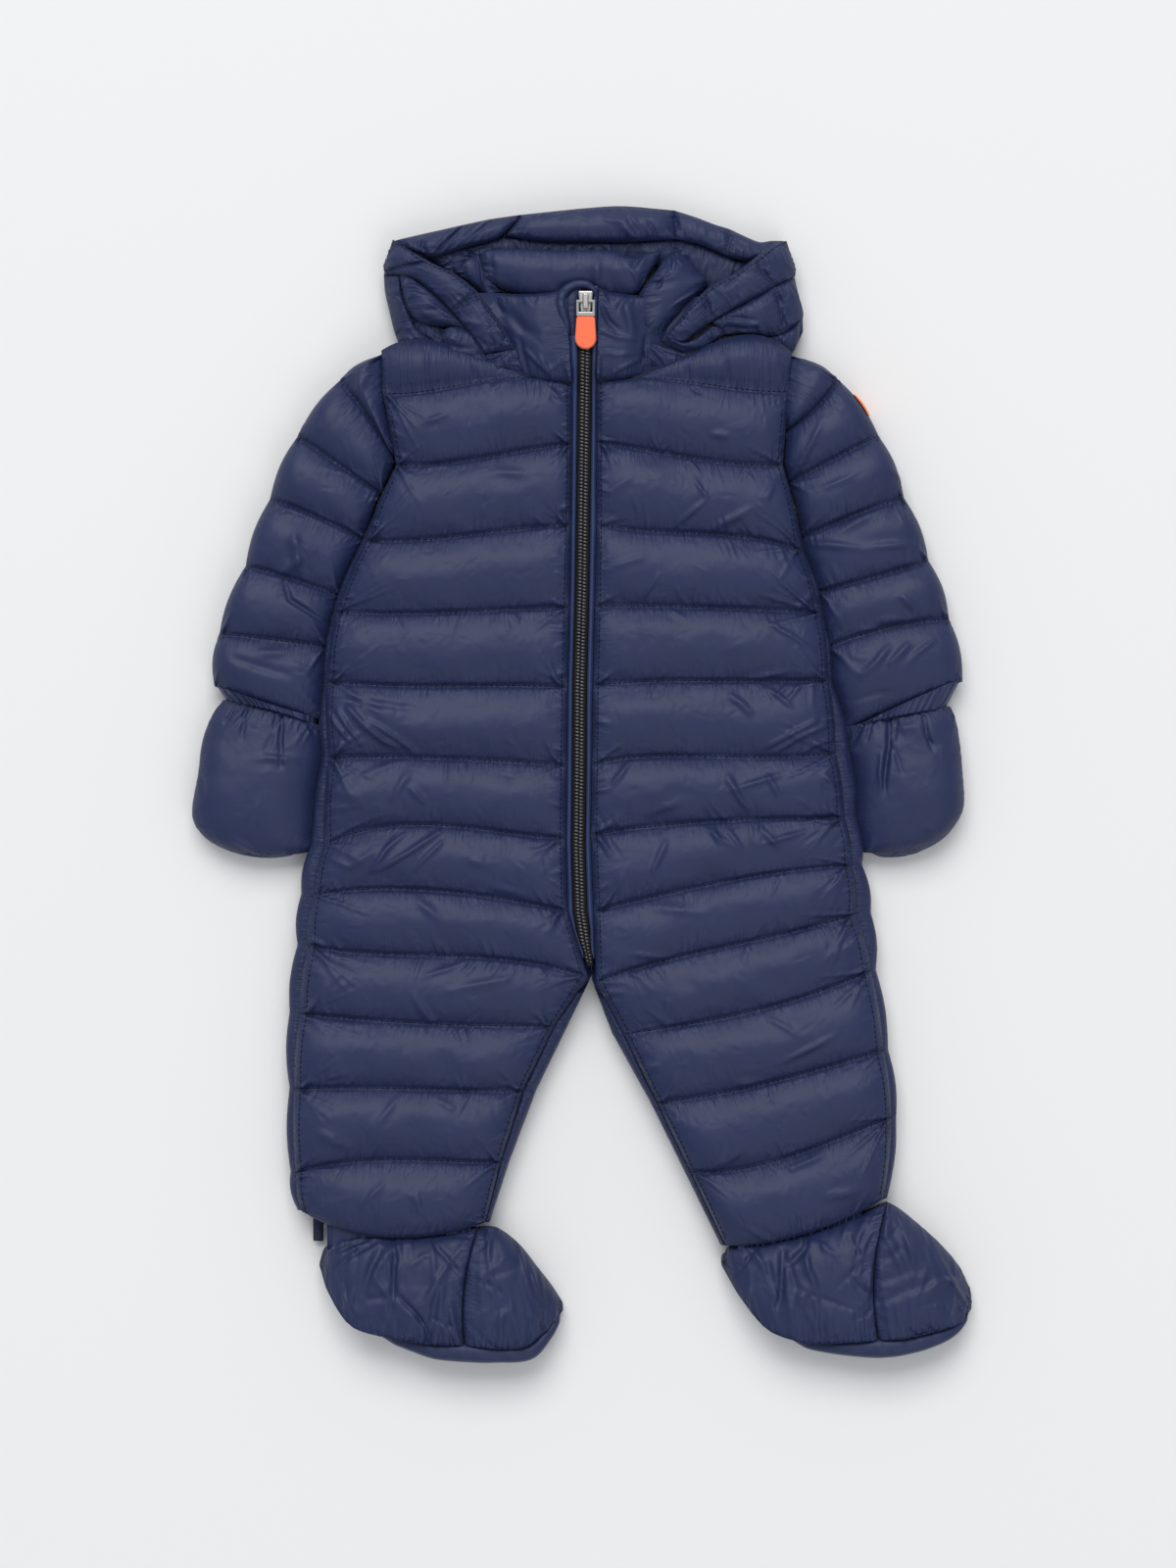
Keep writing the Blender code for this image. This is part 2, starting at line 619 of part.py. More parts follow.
def make_front(side):
    outer = [front_section(side, v) for v in channel_rows(FRONT_ROWS[side])]
    inner = [[(x, y, BACK_TOP + LAYER_GAP) for x, y, z in row] for row in outer]
    slab(f"front_{side}", outer, inner, NAVY)


def back_section(side, v):
    """Outer and inner points of a back panel across one row, from its inner edge."""
    s = SIGN[side]
    a, b, f = around(FRONT_ROWS[side], v)
    leg = clamp(3 * (v - FORK_ROW))
    wrap = clamp(v - ARMPIT_ROW)
    y_in = lerp(BACK_NECK_Y if v < 1 else a.y_in, b.y_in, f)
    y_out = lerp(a.y_out, b.y_out, f)
    x_back = lerp(a.x_back, b.x_back, f) + s * SEAM_GAP / 2
    x_inseam = lerp(a.x_in, b.x_in, f) - s * SEAM_GAP
    x_seam = seam_x(side, v) + s * SEAM_GAP
    x_edge = lerp(x_seam, edge_x(side, v), wrap)
    x_start = lerp(x_back, x_inseam, leg)
    outer = (
        (x_start, y_in, lerp(BACK_TOP + LIP, SEAM_Z, leg)),
        (x_back, y_in, EDGE_Z),
        (x_back + s * 1.5 * leg, y_in, 5.0),
        (x_back + s * SIDE_ROUND * leg, y_in, 0.0),
        (x_edge - s * SIDE_ROUND * wrap, y_out, 0.0),
        (x_edge - s * 1.5 * wrap, y_out, 5.0),
        (x_edge, y_out, EDGE_Z),
        (x_seam, y_out, lerp(BACK_TOP + LIP, SEAM_Z, wrap)),
    )
    inner = (
        (x_start + s * LIP_WIDTH * (1 - leg), y_in, BACK_TOP),
        (x_seam - s * LIP_WIDTH * (1 - wrap), y_out, BACK_TOP),
    )
    return outer, inner


def make_back(side):
    sections = [back_section(side, v) for v in channel_rows(FRONT_ROWS[side])]
    slab(f"back_{side}", [s[0] for s in sections], [s[1] for s in sections], NAVY)


# ------------------------------------------------------------------ sleeves, mittens, booties

def across(section, share):
    """Place at a share of the way along a section, with its bow."""
    dx, dy = section.x_out - section.x_in, section.y_out - section.y_in
    off = section.bow * 4 * share * (1 - share) / math.hypot(dx, dy)
    return section.x_in + dx * share - dy * off, section.y_in + dy * share + dx * off


def between(a, b, f):
    return Section(*(lerp(p, q, f) for p, q in zip(a, b)))


def tube_rings(
    section, puff=0.0, wall=TUBE_WALL, edge_z=SLEEVE_EDGE_Z, top=TUBE_TOP_SHARES, gather=0.0
):
    """Outer ring and flat inner ring of a tube that lies flat, on a level underside."""
    width = math.hypot(section.x_out - section.x_in, section.y_out - section.y_in)
    inset = min(0.4, wall / width)
    height = section.height
    edge_z = min(edge_z, height * 0.5)
    outer, inner = [], []
    for t in top:
        round_share = math.sqrt(max(0.0, 1 - abs(2 * t - 1) ** 3))
        z = edge_z + (height - edge_z) * round_share + puff * closing(t)
        z += gather * math.cos(20 * math.pi * t) * closing(t)
        outer.append((*across(section, t), z))
    for t in TUBE_UNDER_SHARES:
        outer.append((*across(section, t), 0.3 * edge_z if t in (0.97, 0.03) else 0.0))
    for i, t in enumerate((*top, *TUBE_UNDER_SHARES)):
        level = 0.5 if 0 < i < len(top) - 1 else (0.0 if i < len(top) else -0.5)
        inner.append((*across(section, lerp(inset, 1 - inset, t)), edge_z + 1 + level))
    return outer, inner


def beside_body(side, rings):
    """Moves the points of rings clear of the body's side, where they would reach it."""
    outline, s = body_outline(side), SIGN[side]
    moved = []
    for ring in rings:
        limits = [through_table(outline, y) + s * SIDE_CLEARANCE for x, y, z in ring]
        moved.append([
            (x if s * x > s * limit else limit, y, z) for (x, y, z), limit in zip(ring, limits)
        ])
    return moved


def sleeve_section(side, v):
    """The sleeve's section at v stitch lines down, and the rise of its channel there."""
    rows = SLEEVE_ROWS[side]
    a, b, f = around(rows, v)
    section = between(a, b, f)
    pitch = math.hypot(b.x_out - a.x_out, b.y_out - a.y_out)
    rise = min(PUFF - 1.0, PUFF_SHARE * pitch) * arch(f)
    dx, dy = section.x_out - section.x_in, section.y_out - section.y_in
    grow = EDGE_BULGE * swell(v) / math.hypot(dx, dy)
    section = section._replace(
        x_out=section.x_out + dx * grow, y_out=section.y_out + dy * grow
    )
    return section, rise


def make_sleeve(side):
    rings = []
    for v in channel_rows(SLEEVE_ROWS[side]):
        section, rise = sleeve_section(side, v)
        rings.append(beside_body(side, tube_rings(section, rise)))
    tube(f"sleeve_{side}", [r[0] for r in rings], [r[1] for r in rings], NAVY)


def make_wristband(side):
    hem, wrist = SLEEVE_ROWS[side][-1], MITTEN_ROWS[side][0]
    rings = []
    for share in WRISTBAND_SHARES:
        section = between(hem, wrist, share)
        (x_in, y_in), (x_out, y_out) = across(section, 0.03), across(section, 0.97)
        section = Section(x_in, y_in, x_out, y_out, section.bow, WRISTBAND_Z)
        band = tube_rings(
            section, wall=BAND_WALL, edge_z=BAND_EDGE_Z, top=GATHER_SHARES, gather=BAND_GATHER
        )
        rings.append(beside_body(side, band))
    tube(f"wristband_{side}", [r[0] for r in rings], [r[1] for r in rings], NAVY_DEEP)


def make_mitten(side):
    rings = []
    rows = MITTEN_ROWS[side]
    for k, row in enumerate(rows):
        gathered = MITTEN_GATHERS[k] if k < len(MITTEN_GATHERS) else 0.0
        rings.append(beside_body(side, tube_rings(row, top=GATHER_SHARES, gather=gathered)))
    outer, inner = [r[0] for r in rings], [r[1] for r in rings[:-2]]
    tube(f"mitten_{side}", outer, inner, NAVY, closed=True)


def make_bootie(side):
    """Quarter and toe, open to each other at the seam, and the strip of the sole."""
    for part, rows, towards_toe in (
        ("quarter", QUARTER_ROWS[side], -1), ("toe", TOE_ROWS[side], 1)
    ):
        seam = rows[0]
        half_gap = towards_toe * SEAM_GAP / 2
        seam = seam._replace(x_in=seam.x_in + half_gap, x_out=seam.x_out + half_gap)
        rings = [tube_rings(row, edge_z=BOOTIE_EDGE_Z) for row in (seam, *rows[1:])]
        outer, inner = [r[0] for r in rings], [r[1] for r in rings[:-1]]
        tube(f"bootie_{part}_{side}", outer, inner, NAVY, closed=True)
    rings = []
    for row in SOLE_ROWS[side]:
        xm, ym = lerp(row.x_upper, row.x_edge, 0.55), lerp(row.y_upper, row.y_edge, 0.55)
        rings.append((
            (row.x_upper, row.y_upper - SEAM_GAP, 2.0),
            (row.x_upper, row.y_upper - SEAM_GAP, row.height),
            (xm, ym - SEAM_GAP, row.height + 1.0),
            (row.x_edge, row.y_edge, row.height * 0.72),
            (row.x_edge, row.y_edge, row.height * 0.28),
            (xm, ym - SEAM_GAP, 0.0),
        ))
    bar(f"bootie_sole_{side}", rings, NAVY_DEEP)


def make_ankleband(side):
    """Gathered strip between the leg's hem and the bootie's ankle edge."""
    hem = FRONT_ROWS[side][-1]
    edge = sorted(
        {(r.x_out, r.y_out) for r in (*QUARTER_ROWS[side], *TOE_ROWS[side])}, reverse=True
    )
    outer, inner = [[], [], []], [[], [], []]
    for i in range(ANKLE_COLUMNS + 1):
        t = lerp(*ANKLE_SPAN, i / ANKLE_COLUMNS)
        x = lerp(hem.x_in, hem.x_out, t)
        y_hem, y_bootie = stitch_y(hem, t) - SEAM_GAP, through_table(edge, x) + 0.8
        z = ANKLEBAND_Z + BAND_GATHER * math.cos(math.pi * i)
        for row, (share, drop) in enumerate(((0.0, 0.0), (0.5, 0.4), (1.0, 1.4))):
            y = lerp(y_hem, min(y_bootie, y_hem - 2.0), share)
            outer[row].append((x, y, z - drop))
            inner[row].append((x, y, 1.0))
    slab(f"ankleband_{side}", outer, inner, NAVY_DEEP)


# ------------------------------------------------------------------ hood and collar

def flap_height(t, v):
    """Height of the hood's folded side: three channels from its front edge to the contour."""
    for k in range(3):
        t0, t1 = FLAP_CHANNELS[k], FLAP_CHANNELS[k + 1]
        if t <= t1:
            f = (t - t0) / (t1 - t0)
            break
    stitches = (FLAP_EDGE_Z, FLAP_STITCH_Z, FLAP_STITCH_Z - 2.0, EDGE_Z)
    fullness = FLAP_PUFF * (0.35 + 0.65 * clamp(v)) * (1.0 if k < 2 else 0.75)
    end = 1.0 - 0.75 * clamp(v - 5)
    return lerp(stitches[k], stitches[k + 1], f) + fullness * end * arch(f)


def make_flap(side):
    """Hood's side: an upper layer that rolls round the contour down to the surface."""
    s = SIGN[side]
    rows = FLAP_ROWS[side]
    outer, inner = [], []
    for v in FLAP_PLACES:
        a, b, f = around(rows, v)
        section = between(a, b, f)
        width = abs(section.x_out - section.x_in)
        hook = min(HOOK_DEPTH, 0.4 * width)
        line, under = [], []
        for t in FLAP_SHARES:
            x, y = across(section, t)
            if v > 5:
                y = lerp(y, neck_y(side, x) + NECK_GAP, v - 5)
            line.append((x, y, flap_height(t, v)))
            xi = lerp(section.x_in, section.x_out - s * hook, t)
            yi = lerp(section.y_in, section.y_out, t)
            if v > 5:
                yi = lerp(yi, neck_y(side, xi) + NECK_GAP, v - 5)
            under.append((xi, yi, FLAP_UNDER))
        x, y, _ = line[-1]
        line += [(x - s * 0.12 * hook, y, 4.0), (x - s * 0.5 * hook, y, 0.0)]
        under += [(x - s * hook, y, 8.0), (x - s * hook, y, 0.0)]
        outer.append(line)
        inner.append(under)
    slab(f"hood_{side}", outer, inner, NAVY)


def make_hood_centre():
    """Hood's lower layer, with the rolled rim of its centre band behind the collar."""
    outer, inner = [], []
    for line in HOOD_LINES:
        top = [(line.x, line.y_low, line.plate_z)]
        for share, rise in HOOD_RIM_PROFILE:
            y = lerp(line.y_cover, line.y_top, share)
            ends = clamp((line.y_top - line.y_cover) / 20)
            rim = max(0.0, HOOD_RIM_Z - line.plate_z) * ends
            top.append((line.x, y, line.plate_z + rim * rise))
        outer.append(top)
        inner.append([(x, y - (3.0 * ends if k == 6 else 0.0), 0.0)
                      for k, (x, y, z) in enumerate(top)])
    slab("hood_centre", outer, inner, NAVY_DEEP)


def make_collar_front(side):
    rows = COLLAR_ROWS[side]
    outer, inner = [], []
    for v in COLLAR_PLACES:
        a, b, f = around(rows, v)
        section = between(a, b, f)
        line = []
        side_fall = clamp(v / 3) ** 8
        for t in COLLAR_SHARES:
            x, y = across(section, t)
            zip_share = (1 - clamp(v / 0.7)) ** 2
            top = lerp(COLLAR_SEAM_Z, COLLAR_ZIP_Z, zip_share * (1 - t) ** 0.3)
            fullness = COLLAR_PUFF * (1 - side_fall * 0.7) * (1 - 0.75 * zip_share)
            line.append((x, y, top + fullness * closing(t)))
        outer.append(line)
        inner.append([(x, y, COLLAR_FRONT_UNDER) for x, y, z in line])
    slab(f"collar_{side}", outer, inner, NAVY)


def make_collar_back():
    outer, inner = [], []
    for row in COLLAR_BACK_ROWS:
        cover = max(COLLAR_COVER_Y, row.y_low + 1.0)
        line = [(row.x, row.y_low, COLLAR_BACK_TOP)]
        for share, z, rolled in COLLAR_BACK_PROFILE:
            line.append((row.x, lerp(cover, row.y_top, share), z + row.roll * rolled))
        outer.append(line)
        inner.append([(x, y, COLLAR_BACK_UNDER) for x, y, z in line])
    slab("collar_back", outer, inner, NAVY)


# ------------------------------------------------------------------ zip

def zip_x(y):
    return through_table(ZIP_LINE, y)


def zip_z(y):
    """Tape's height: low on the body, rising on to the collar."""
    share = clamp((y - 222.0) / 22.0)
    return lerp(ZIP_Z, ZIP_COLLAR_Z, share * share * (3 - 2 * share))


def zip_edge_x(side, y):
    """Edge of the front panel or the collar beside the zip."""
    rows = [(r.y_in, r.x_in) for r in FRONT_ROWS[side][:FORK_ROW + 1]]
    collar = COLLAR_ROWS[side][0]
    above = [(collar.y_out + 1.0, collar.x_out), (collar.y_in, collar.x_in)]
    return through_table(above + rows, y)


def zip_places():
    """Heights of the zip's sections, down to the end of the welts."""
    on_collar = [ZIP_TOP_Y, lerp(ZIP_TOP_Y, GARAGE_Y, 0.5)]
    return on_collar + [lerp(GARAGE_Y, WELT_END_Y, i / ZIP_STEPS) for i in range(ZIP_STEPS + 1)]


def tape_half(y):
    gap = zip_edge_x("left", y) - zip_edge_x("right", y)
    return min(TAPE_HALF, 0.5 * gap - SEAM_GAP - (0.9 if y < WELT_END_Y + 2 else 1.6))


def make_zip_chain():
    """Tape with the closed coil raised along its middle."""
    rings = []
    for y in (*zip_places(), ZIP_END_Y):
        x, z, half = zip_x(y), zip_z(y), tape_half(y)
        coil = min(COIL_HALF, half - 0.4)
        rings.append((
            (x - half, y, z - 2.0), (x - half, y, z), (x - coil, y, z),
            (x - coil * 0.8, y, z + COIL_RISE), (x + coil * 0.8, y, z + COIL_RISE),
            (x + coil, y, z), (x + half, y, z), (x + half, y, z - 2.0),
        ))
    bar("zip_chain", rings, TAPE_BLACK, 0.45)


def make_welt(side):
    """Corded strip between the tape and the front panel."""
    s = SIGN[side]
    places = zip_places()
    if side == "right":
        places = [GARAGE_Y - SEAM_GAP, *places[3:]]
    rings = []
    for y in places:
        a = zip_x(y) + s * (tape_half(y) + 0.3)
        b = zip_edge_x(side, y) - s * SEAM_GAP
        z = zip_z(y)
        rings.append((
            (a, y, z - 2.0), (b, y, z - 2.0), (b, y, z + 0.8),
            ((a + b) / 2, y, z + WELT_RISE), (a, y, z + 0.8),
        ))
    bar(f"zip_welt_{side}", rings, WELT_BLUE, 0.5)


def make_garage():
    """Padded fold beside the top of the zip."""
    rings = []
    for y, rise in GARAGE_ROWS:
        a = zip_x(y) - tape_half(y) - 0.3
        b = zip_edge_x("right", y) + SEAM_GAP
        z = zip_z(y)
        rings.append((
            (a, y, z - 2.0), (b, y, z - 2.0), (b, y, z + 0.6 * rise),
            ((a + b) / 2, y, z + rise), (a, y, z + 0.4 * rise),
        ))
    bar("zip_garage", rings, NAVY, 0.5)


def box_points(x, y, z, width, length, height, taper=1.0):
    """Corners of a box about x, y from height z up, narrower by taper at its lower end."""
    points = []
    for level in (z, z + height):
        for sx, sy in ((-1, 1), (1, 1), (1, -1), (-1, -1)):
            half = width / 2 * (taper if sy < 0 else 1.0)
            points.append((x + sx * half, y + sy * length / 2, level))
    return points


BOX_FACES = ((0, 3, 2, 1), (4, 5, 6, 7), (0, 1, 5, 4), (1, 2, 6, 5), (2, 3, 7, 6), (3, 0, 4, 7))


def helper(obj):
    obj.hide_render = True
    obj.display_type = "WIRE"
    return obj


def boolean(obj, other, operation):
    modifier = obj.modifiers.new(operation.title(), "BOOLEAN")
    modifier.operation = operation
    modifier.object = other


def bevel(obj, width, segments=2):
    modifier = obj.modifiers.new("Bevel", "BEVEL")
    modifier.width = width
    modifier.segments = segments


def make_slider():
    """Slider's top plate with flanges beside the coil, and its bail."""
    x, y, z = PIVOT
    height = SLIDER_TOP_Z - SLIDER_BASE_Z
    plate = make_object(
        "slider", box_points(x, y, SLIDER_BASE_Z, SLIDER_WIDTH, SLIDER_LENGTH, height, 0.72),
        BOX_FACES, STEEL, 0.3, 1.0,
    )
    bevel(plate, 0.8 * MM)
    bail_height = BAIL_TOP_Z - SLIDER_TOP_Z + 1.0
    bail = helper(make_object(
        "bail", box_points(x, y, SLIDER_TOP_Z - 1.0, BAIL_WIDTH, BAIL_LENGTH, bail_height),
        BOX_FACES, STEEL, 0.3, 1.0,
    ))
    bevel(bail, 0.7 * MM)
    tunnel = helper(make_object(
        "tunnel",
        box_points(x, y, SLIDER_TOP_Z + 0.1, 3 * BAIL_WIDTH, TUNNEL_LENGTH,
                   TUNNEL_TOP_Z - SLIDER_TOP_Z - 0.1),
        BOX_FACES, STEEL, 0.3, 1.0,
    ))
    boolean(plate, bail, "UNION")
    boolean(plate, tunnel, "DIFFERENCE")


def pull_point(across_x, along, up):
    """Place on the pull: along it from its pivot, with its slight tilt."""
    x, y, z = PIVOT
    return (
        x + across_x,
        y - along * math.cos(PULL_TILT) + up * math.sin(PULL_TILT),
        z - along * math.sin(PULL_TILT) + up * math.cos(PULL_TILT),
    )


def make_pull_frame(parent):
    """Flat metal frame whose upper bar passes under the bail."""
    half, b = PULL_WIDTH / 2, PULL_BAR / 2
    outer = ((-half, -b), (half, -b), (half, FRAME_REACH), (-half, FRAME_REACH))
    window = (
        (-half + 1.5, b), (half - 1.5, b),
        (half - 1.5, FRAME_REACH - 2.2), (-half + 1.5, FRAME_REACH - 2.2),
    )
    points = [pull_point(px, py, up) for up in (-b, b) for px, py in (*outer, *window)]
    faces = []
    for i in range(4):
        k = (i + 1) % 4
        faces.append((i, k, 8 + k, 8 + i))
        faces.append((4 + i, 12 + i, 12 + k, 4 + k))
        faces.append((i, 4 + i, 4 + k, k))
        faces.append((8 + i, 8 + k, 12 + k, 12 + i))
    frame = make_object("pull_frame", points, faces, STEEL, 0.3, 1.0, parent)
    bevel(frame, 0.3 * MM)


def make_pull_tab(parent):
    """Rubber grip, a little wider towards its round end."""
    start, half = FRAME_REACH + 0.3, PULL_WIDTH / 2
    end_half = TAB_END_WIDTH / 2
    centre = start + TAB_LENGTH - end_half
    outline = [(-half * 0.86, start), (half * 0.86, start), (half, start + 1.2)]
    for i in range(11):
        angle = math.pi * i / 10
        outline.append((end_half * math.cos(angle), centre + end_half * math.sin(angle)))
    outline.append((-half, start + 1.2))
    rings = []
    for up, grow in ((-0.5, -0.7), (-0.25, 0.0), (0.25, 0.0), (0.5, -0.7)):
        ring = []
        for px, py in outline:
            length = math.hypot(px, py - centre) or 1.0
            ring.append(pull_point(
                px + grow * px / length, py + grow * (py - centre) / length, up * TAB_THICK
            ))
        rings.append(ring)
    bar("pull_tab", rings, CORAL, 0.4, 0.0, parent)


def make_pull():
    """The pull swings about the bar under the slider's bail."""
    bpy.ops.object.empty_add(location=place(PIVOT))
    pivot = bpy.context.object
    pivot.name = "pull_pivot"
    make_pull_frame(None)
    make_pull_tab(None)
    bpy.context.view_layer.update()
    for name in ("pull_frame", "pull_tab"):
        child = bpy.data.objects[name]
        child.parent = pivot
        child.matrix_parent_inverse = pivot.matrix_world.inverted()


# ------------------------------------------------------------------ labels

def make_badge():
    """Plain patch round the outer edge of the left sleeve, from the sleeve's own points."""
    outer, inner = [], []
    for v in BADGE_ROWS:
        section, rise = sleeve_section("left", v)
        ring, _ = tube_rings(section, rise, top=BADGE_SHARES)
        line = ring[:len(BADGE_SHARES) + 1]
        dx, dy = section.x_out - section.x_in, section.y_out - section.y_in
        length = math.hypot(dx, dy)
        for rows, off in ((inner, 0.5), (outer, 0.5 + BADGE_THICK)):
            row = []
            for i, (x, y, z) in enumerate(line):
                tilt = BADGE_TILTS[i]
                flat = math.sqrt(1 - tilt * tilt)
                row.append((x + off * flat * dx / length, y + off * flat * dy / length,
                            z + off * tilt))
            rows.append(row)
    slab("sleeve_badge", outer, inner, ORANGE)


def make_ankle_tab():
    """Plain woven tab that hangs out beside the right ankle."""
    points = box_points(*TAB_PLACE, *TAB_SIZE)
    tab = make_object("ankle_tab", points, BOX_FACES, NAVY_DEEP, 0.7)
    bevel(tab, 0.4 * MM)


def build():
    for obj in list(bpy.data.objects):
        bpy.data.objects.remove(obj)
    for side in ("right", "left"):
        make_front(side)
        make_back(side)
        make_sleeve(side)
        make_wristband(side)
        make_mitten(side)
        make_bootie(side)
        make_ankleband(side)
        make_flap(side)
        make_collar_front(side)
        make_welt(side)
    make_hood_centre()
    make_collar_back()
    make_zip_chain()
    make_garage()
    make_slider()
    make_pull()
    make_badge()
    make_ankle_tab()


build()
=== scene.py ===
import json
import math
import time
import bpy
import numpy as np

from collections import namedtuple
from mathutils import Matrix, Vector

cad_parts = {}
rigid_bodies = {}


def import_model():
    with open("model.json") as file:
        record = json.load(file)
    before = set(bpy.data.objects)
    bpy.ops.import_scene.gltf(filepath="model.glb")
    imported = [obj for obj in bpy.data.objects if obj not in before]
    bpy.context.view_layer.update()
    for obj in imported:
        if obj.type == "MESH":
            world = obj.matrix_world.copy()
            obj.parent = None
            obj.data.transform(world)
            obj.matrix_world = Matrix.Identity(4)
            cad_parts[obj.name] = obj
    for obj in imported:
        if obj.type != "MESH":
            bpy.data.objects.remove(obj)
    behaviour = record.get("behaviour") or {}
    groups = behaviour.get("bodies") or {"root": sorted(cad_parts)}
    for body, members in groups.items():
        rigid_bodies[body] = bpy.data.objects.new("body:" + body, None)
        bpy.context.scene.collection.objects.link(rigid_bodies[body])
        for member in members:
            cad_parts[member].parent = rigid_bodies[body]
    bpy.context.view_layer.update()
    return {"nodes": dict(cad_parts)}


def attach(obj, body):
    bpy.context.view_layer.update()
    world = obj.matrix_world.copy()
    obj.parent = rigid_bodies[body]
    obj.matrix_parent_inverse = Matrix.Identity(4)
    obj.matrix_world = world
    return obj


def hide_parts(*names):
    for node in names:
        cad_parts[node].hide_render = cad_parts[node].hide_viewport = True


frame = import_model()
startTime = time.time()

# Everything is in millimetres from the zip until a mesh is made: x towards the wearer's left,
# y towards the hood, z up from the table.
mm = 0.001
centreX = -0.4     # the suit's middle

sides = ("left", "right")
signOf = {"right": -1, "left": 1}
forkRow = 9        # stitch line that reaches the crotch
armpitRow = 2      # stitch line that reaches the armpit

body = {
    "seamZ": 19.5,         # side seam and inside leg seam
    "edgeZ": 11.0,         # widest height of the rolled sides
    "stitchZ": 24.5,       # front's quilting lines
    "armholeZ": 21.0,
    "puff": 9.6,           # most that a channel rises before it is filled
    "puffShare": 0.24,
    "bulge": 2.0,          # sideways swell of each channel
    "sideRound": 7.0,
    "backGroove": 2.4,     # depth of the quilting on the underside
    "frontLow": 15.3,      # underside of the front and of the back
    "backLow": 15.0,
    "pitch": 1.9,          # spacing of the cloth's threads in the mesh
    "backPitch": 3.2,
    "backColumns": 16,     # columns under the suit, and then round its inner edge
    "rollColumns": 10,
    "rollLength": 26.0,
}

# A stitch line across a front panel, from the zip or the inside leg to the side seam.
stitch = namedtuple("stitch", "xIn yIn yThird yFar xOut yOut xEdge xBack")
# A section across a flattened tube or fold, from its inner edge to its outer edge
section = namedtuple("section", "xIn yIn xOut yOut bow height")


def named(kind, rows):
    return [kind(*row) for row in rows]


frontRows = {
    "right": named(stitch, (
        (-6.2, 230.4, 237.4, 252.4, -114.8, 248.2, -114.8, 0),
        (-6.2, 227.2, 232.2, 226.5, -114.2, 223.7, -114.2, 0.6),
        (-6.2, 194.6, 189.6, 184, -106.4, 182.8, -108.1, 1.2),
        (-6.7, 147.6, 144.8, 140.3, -123.8, 139.7, -126.6, 1.9),
        (-7.3, 101.4, 99.4, 97.7, -141.1, 98.8, -143.4, 2.5),
        (-8.4, 55.7, 56.3, 56.3, -146.2, 59.1, -149, 3.1),
        (-9, 10.9, 13.7, 15.4, -145, 15.4, -149.5, 3.7),
        (-9.5, -31.1, -25.8, -23.2, -147.8, -34.4, -155.7, 4.4),
        (-8.4, -72.5, -63.6, -59.6, -154, -63, -161.3, 5),
        (3.4, -110, -99.4, -97.2, -157.4, -92.1, -163.5, 5.6),
        (-15.7, -138, -137.5, -135.2, -161.8, -130.8, -168, -7.8),
        (-33.6, -175, -174.4, -173.3, -164.6, -173.9, -168, -25.8),
        (-46.5, -215.9, -214.8, -214.8, -163.8, -222, -167.4, -41.4),
        (-55.4, -250.6, -258.4, -257.3, -160.6, -243.9, -163.5, -52.6),
    )),
    "left": named(stitch, (
        (8.2, 231.8, 238, 255, 119.8, 247.7, 119.8, 0),
        (8.4, 228.2, 231.7, 227.1, 118.2, 224.8, 118.2, 0.6),
        (8.4, 195.7, 189.6, 184, 114.8, 182.8, 115.9, 1.2),
        (8.4, 148.7, 144.2, 142, 125.4, 133.6, 127.6, 1.9),
        (7.3, 102.2, 101.6, 100.2, 136.6, 98.3, 138.9, 2.5),
        (6.2, 56.8, 59.1, 59.1, 141.1, 59.6, 143.6, 3.1), (5.6, 12, 16.2, 15.4, 145, 18.2, 154, 3.7),
        (5, -28.8, -22.7, -19.9, 150.1, -18.8, 157.9, 4.4),
        (6.7, -72, -60.8, -51.2, 154.6, -46.2, 160.7, 5),
        (7.8, -112.8, -98, -87.1, 156.8, -73.6, 165.8, 5.6),
        (23.5, -142.5, -135.2, -124, 165.2, -106.1, 168.6, 16.8),
        (42.6, -181.7, -175, -164.4, 172.4, -152, 175.6, 38.6),
        (61.9, -221.5, -217.6, -205.2, 177, -190.1, 180.3, 58.2),
        (82, -263.8, -260.7, -251.7, 172.2, -237.2, 175, 79),
    )),
}


# Shares and curves, on single numbers or whole arrays

def lerp(a, b, share):
    return a + (b - a) * share


def between(a, b, share):
    return type(a)(*(lerp(p, q, share) for p, q in zip(a, b)))


def clamp(value, low=0.0, high=1.0):
    return np.clip(value, low, high)


def ease(value):
    s = clamp(value)
    return s * s * (3 - 2 * s)


def arch(share, power=0.7):
    return np.sin(np.pi * clamp(share)) ** power


def closing(share, power=8):
    return np.sqrt(clamp(1 - np.abs(2 * share - 1) ** power))


def around(rows, v):
    k = min(int(v), len(rows) - 2)
    return rows[k], rows[k + 1], v - k


def swell(v):
    return math.sin(math.pi * (v - int(v)))


def quarter(steps):
    # sines and cosines from 0 to a right angle
    angles = [math.pi * i / (2 * steps) for i in range(steps + 1)]
    return [(math.sin(angle), math.cos(angle)) for angle in angles]


def lengthAlong(points):
    return np.concatenate([[0], np.cumsum(np.linalg.norm(np.diff(points, axis=0), axis=1))])


def unit(vectors):
    return vectors / np.maximum(np.linalg.norm(vectors, axis=-1, keepdims=True), 1e-9)


def stitchY(row, share):
    # a smooth curve through the row's four heights
    a = 3 * share
    return (
        -row.yIn * (a - 1) * (a - 2) * (a - 3) / 6 + row.yThird * a * (a - 2) * (a - 3) / 2
        - row.yFar * a * (a - 1) * (a - 3) / 2 + row.yOut * a * (a - 1) * (a - 2) / 6
    )


def seamX(side, v):
    a, b, f = around(frontRows[side], v)
    full = 0.6 * body["bulge"] * swell(v) if v > armpitRow else 0.0
    return lerp(a.xOut, b.xOut, f) + signOf[side] * full


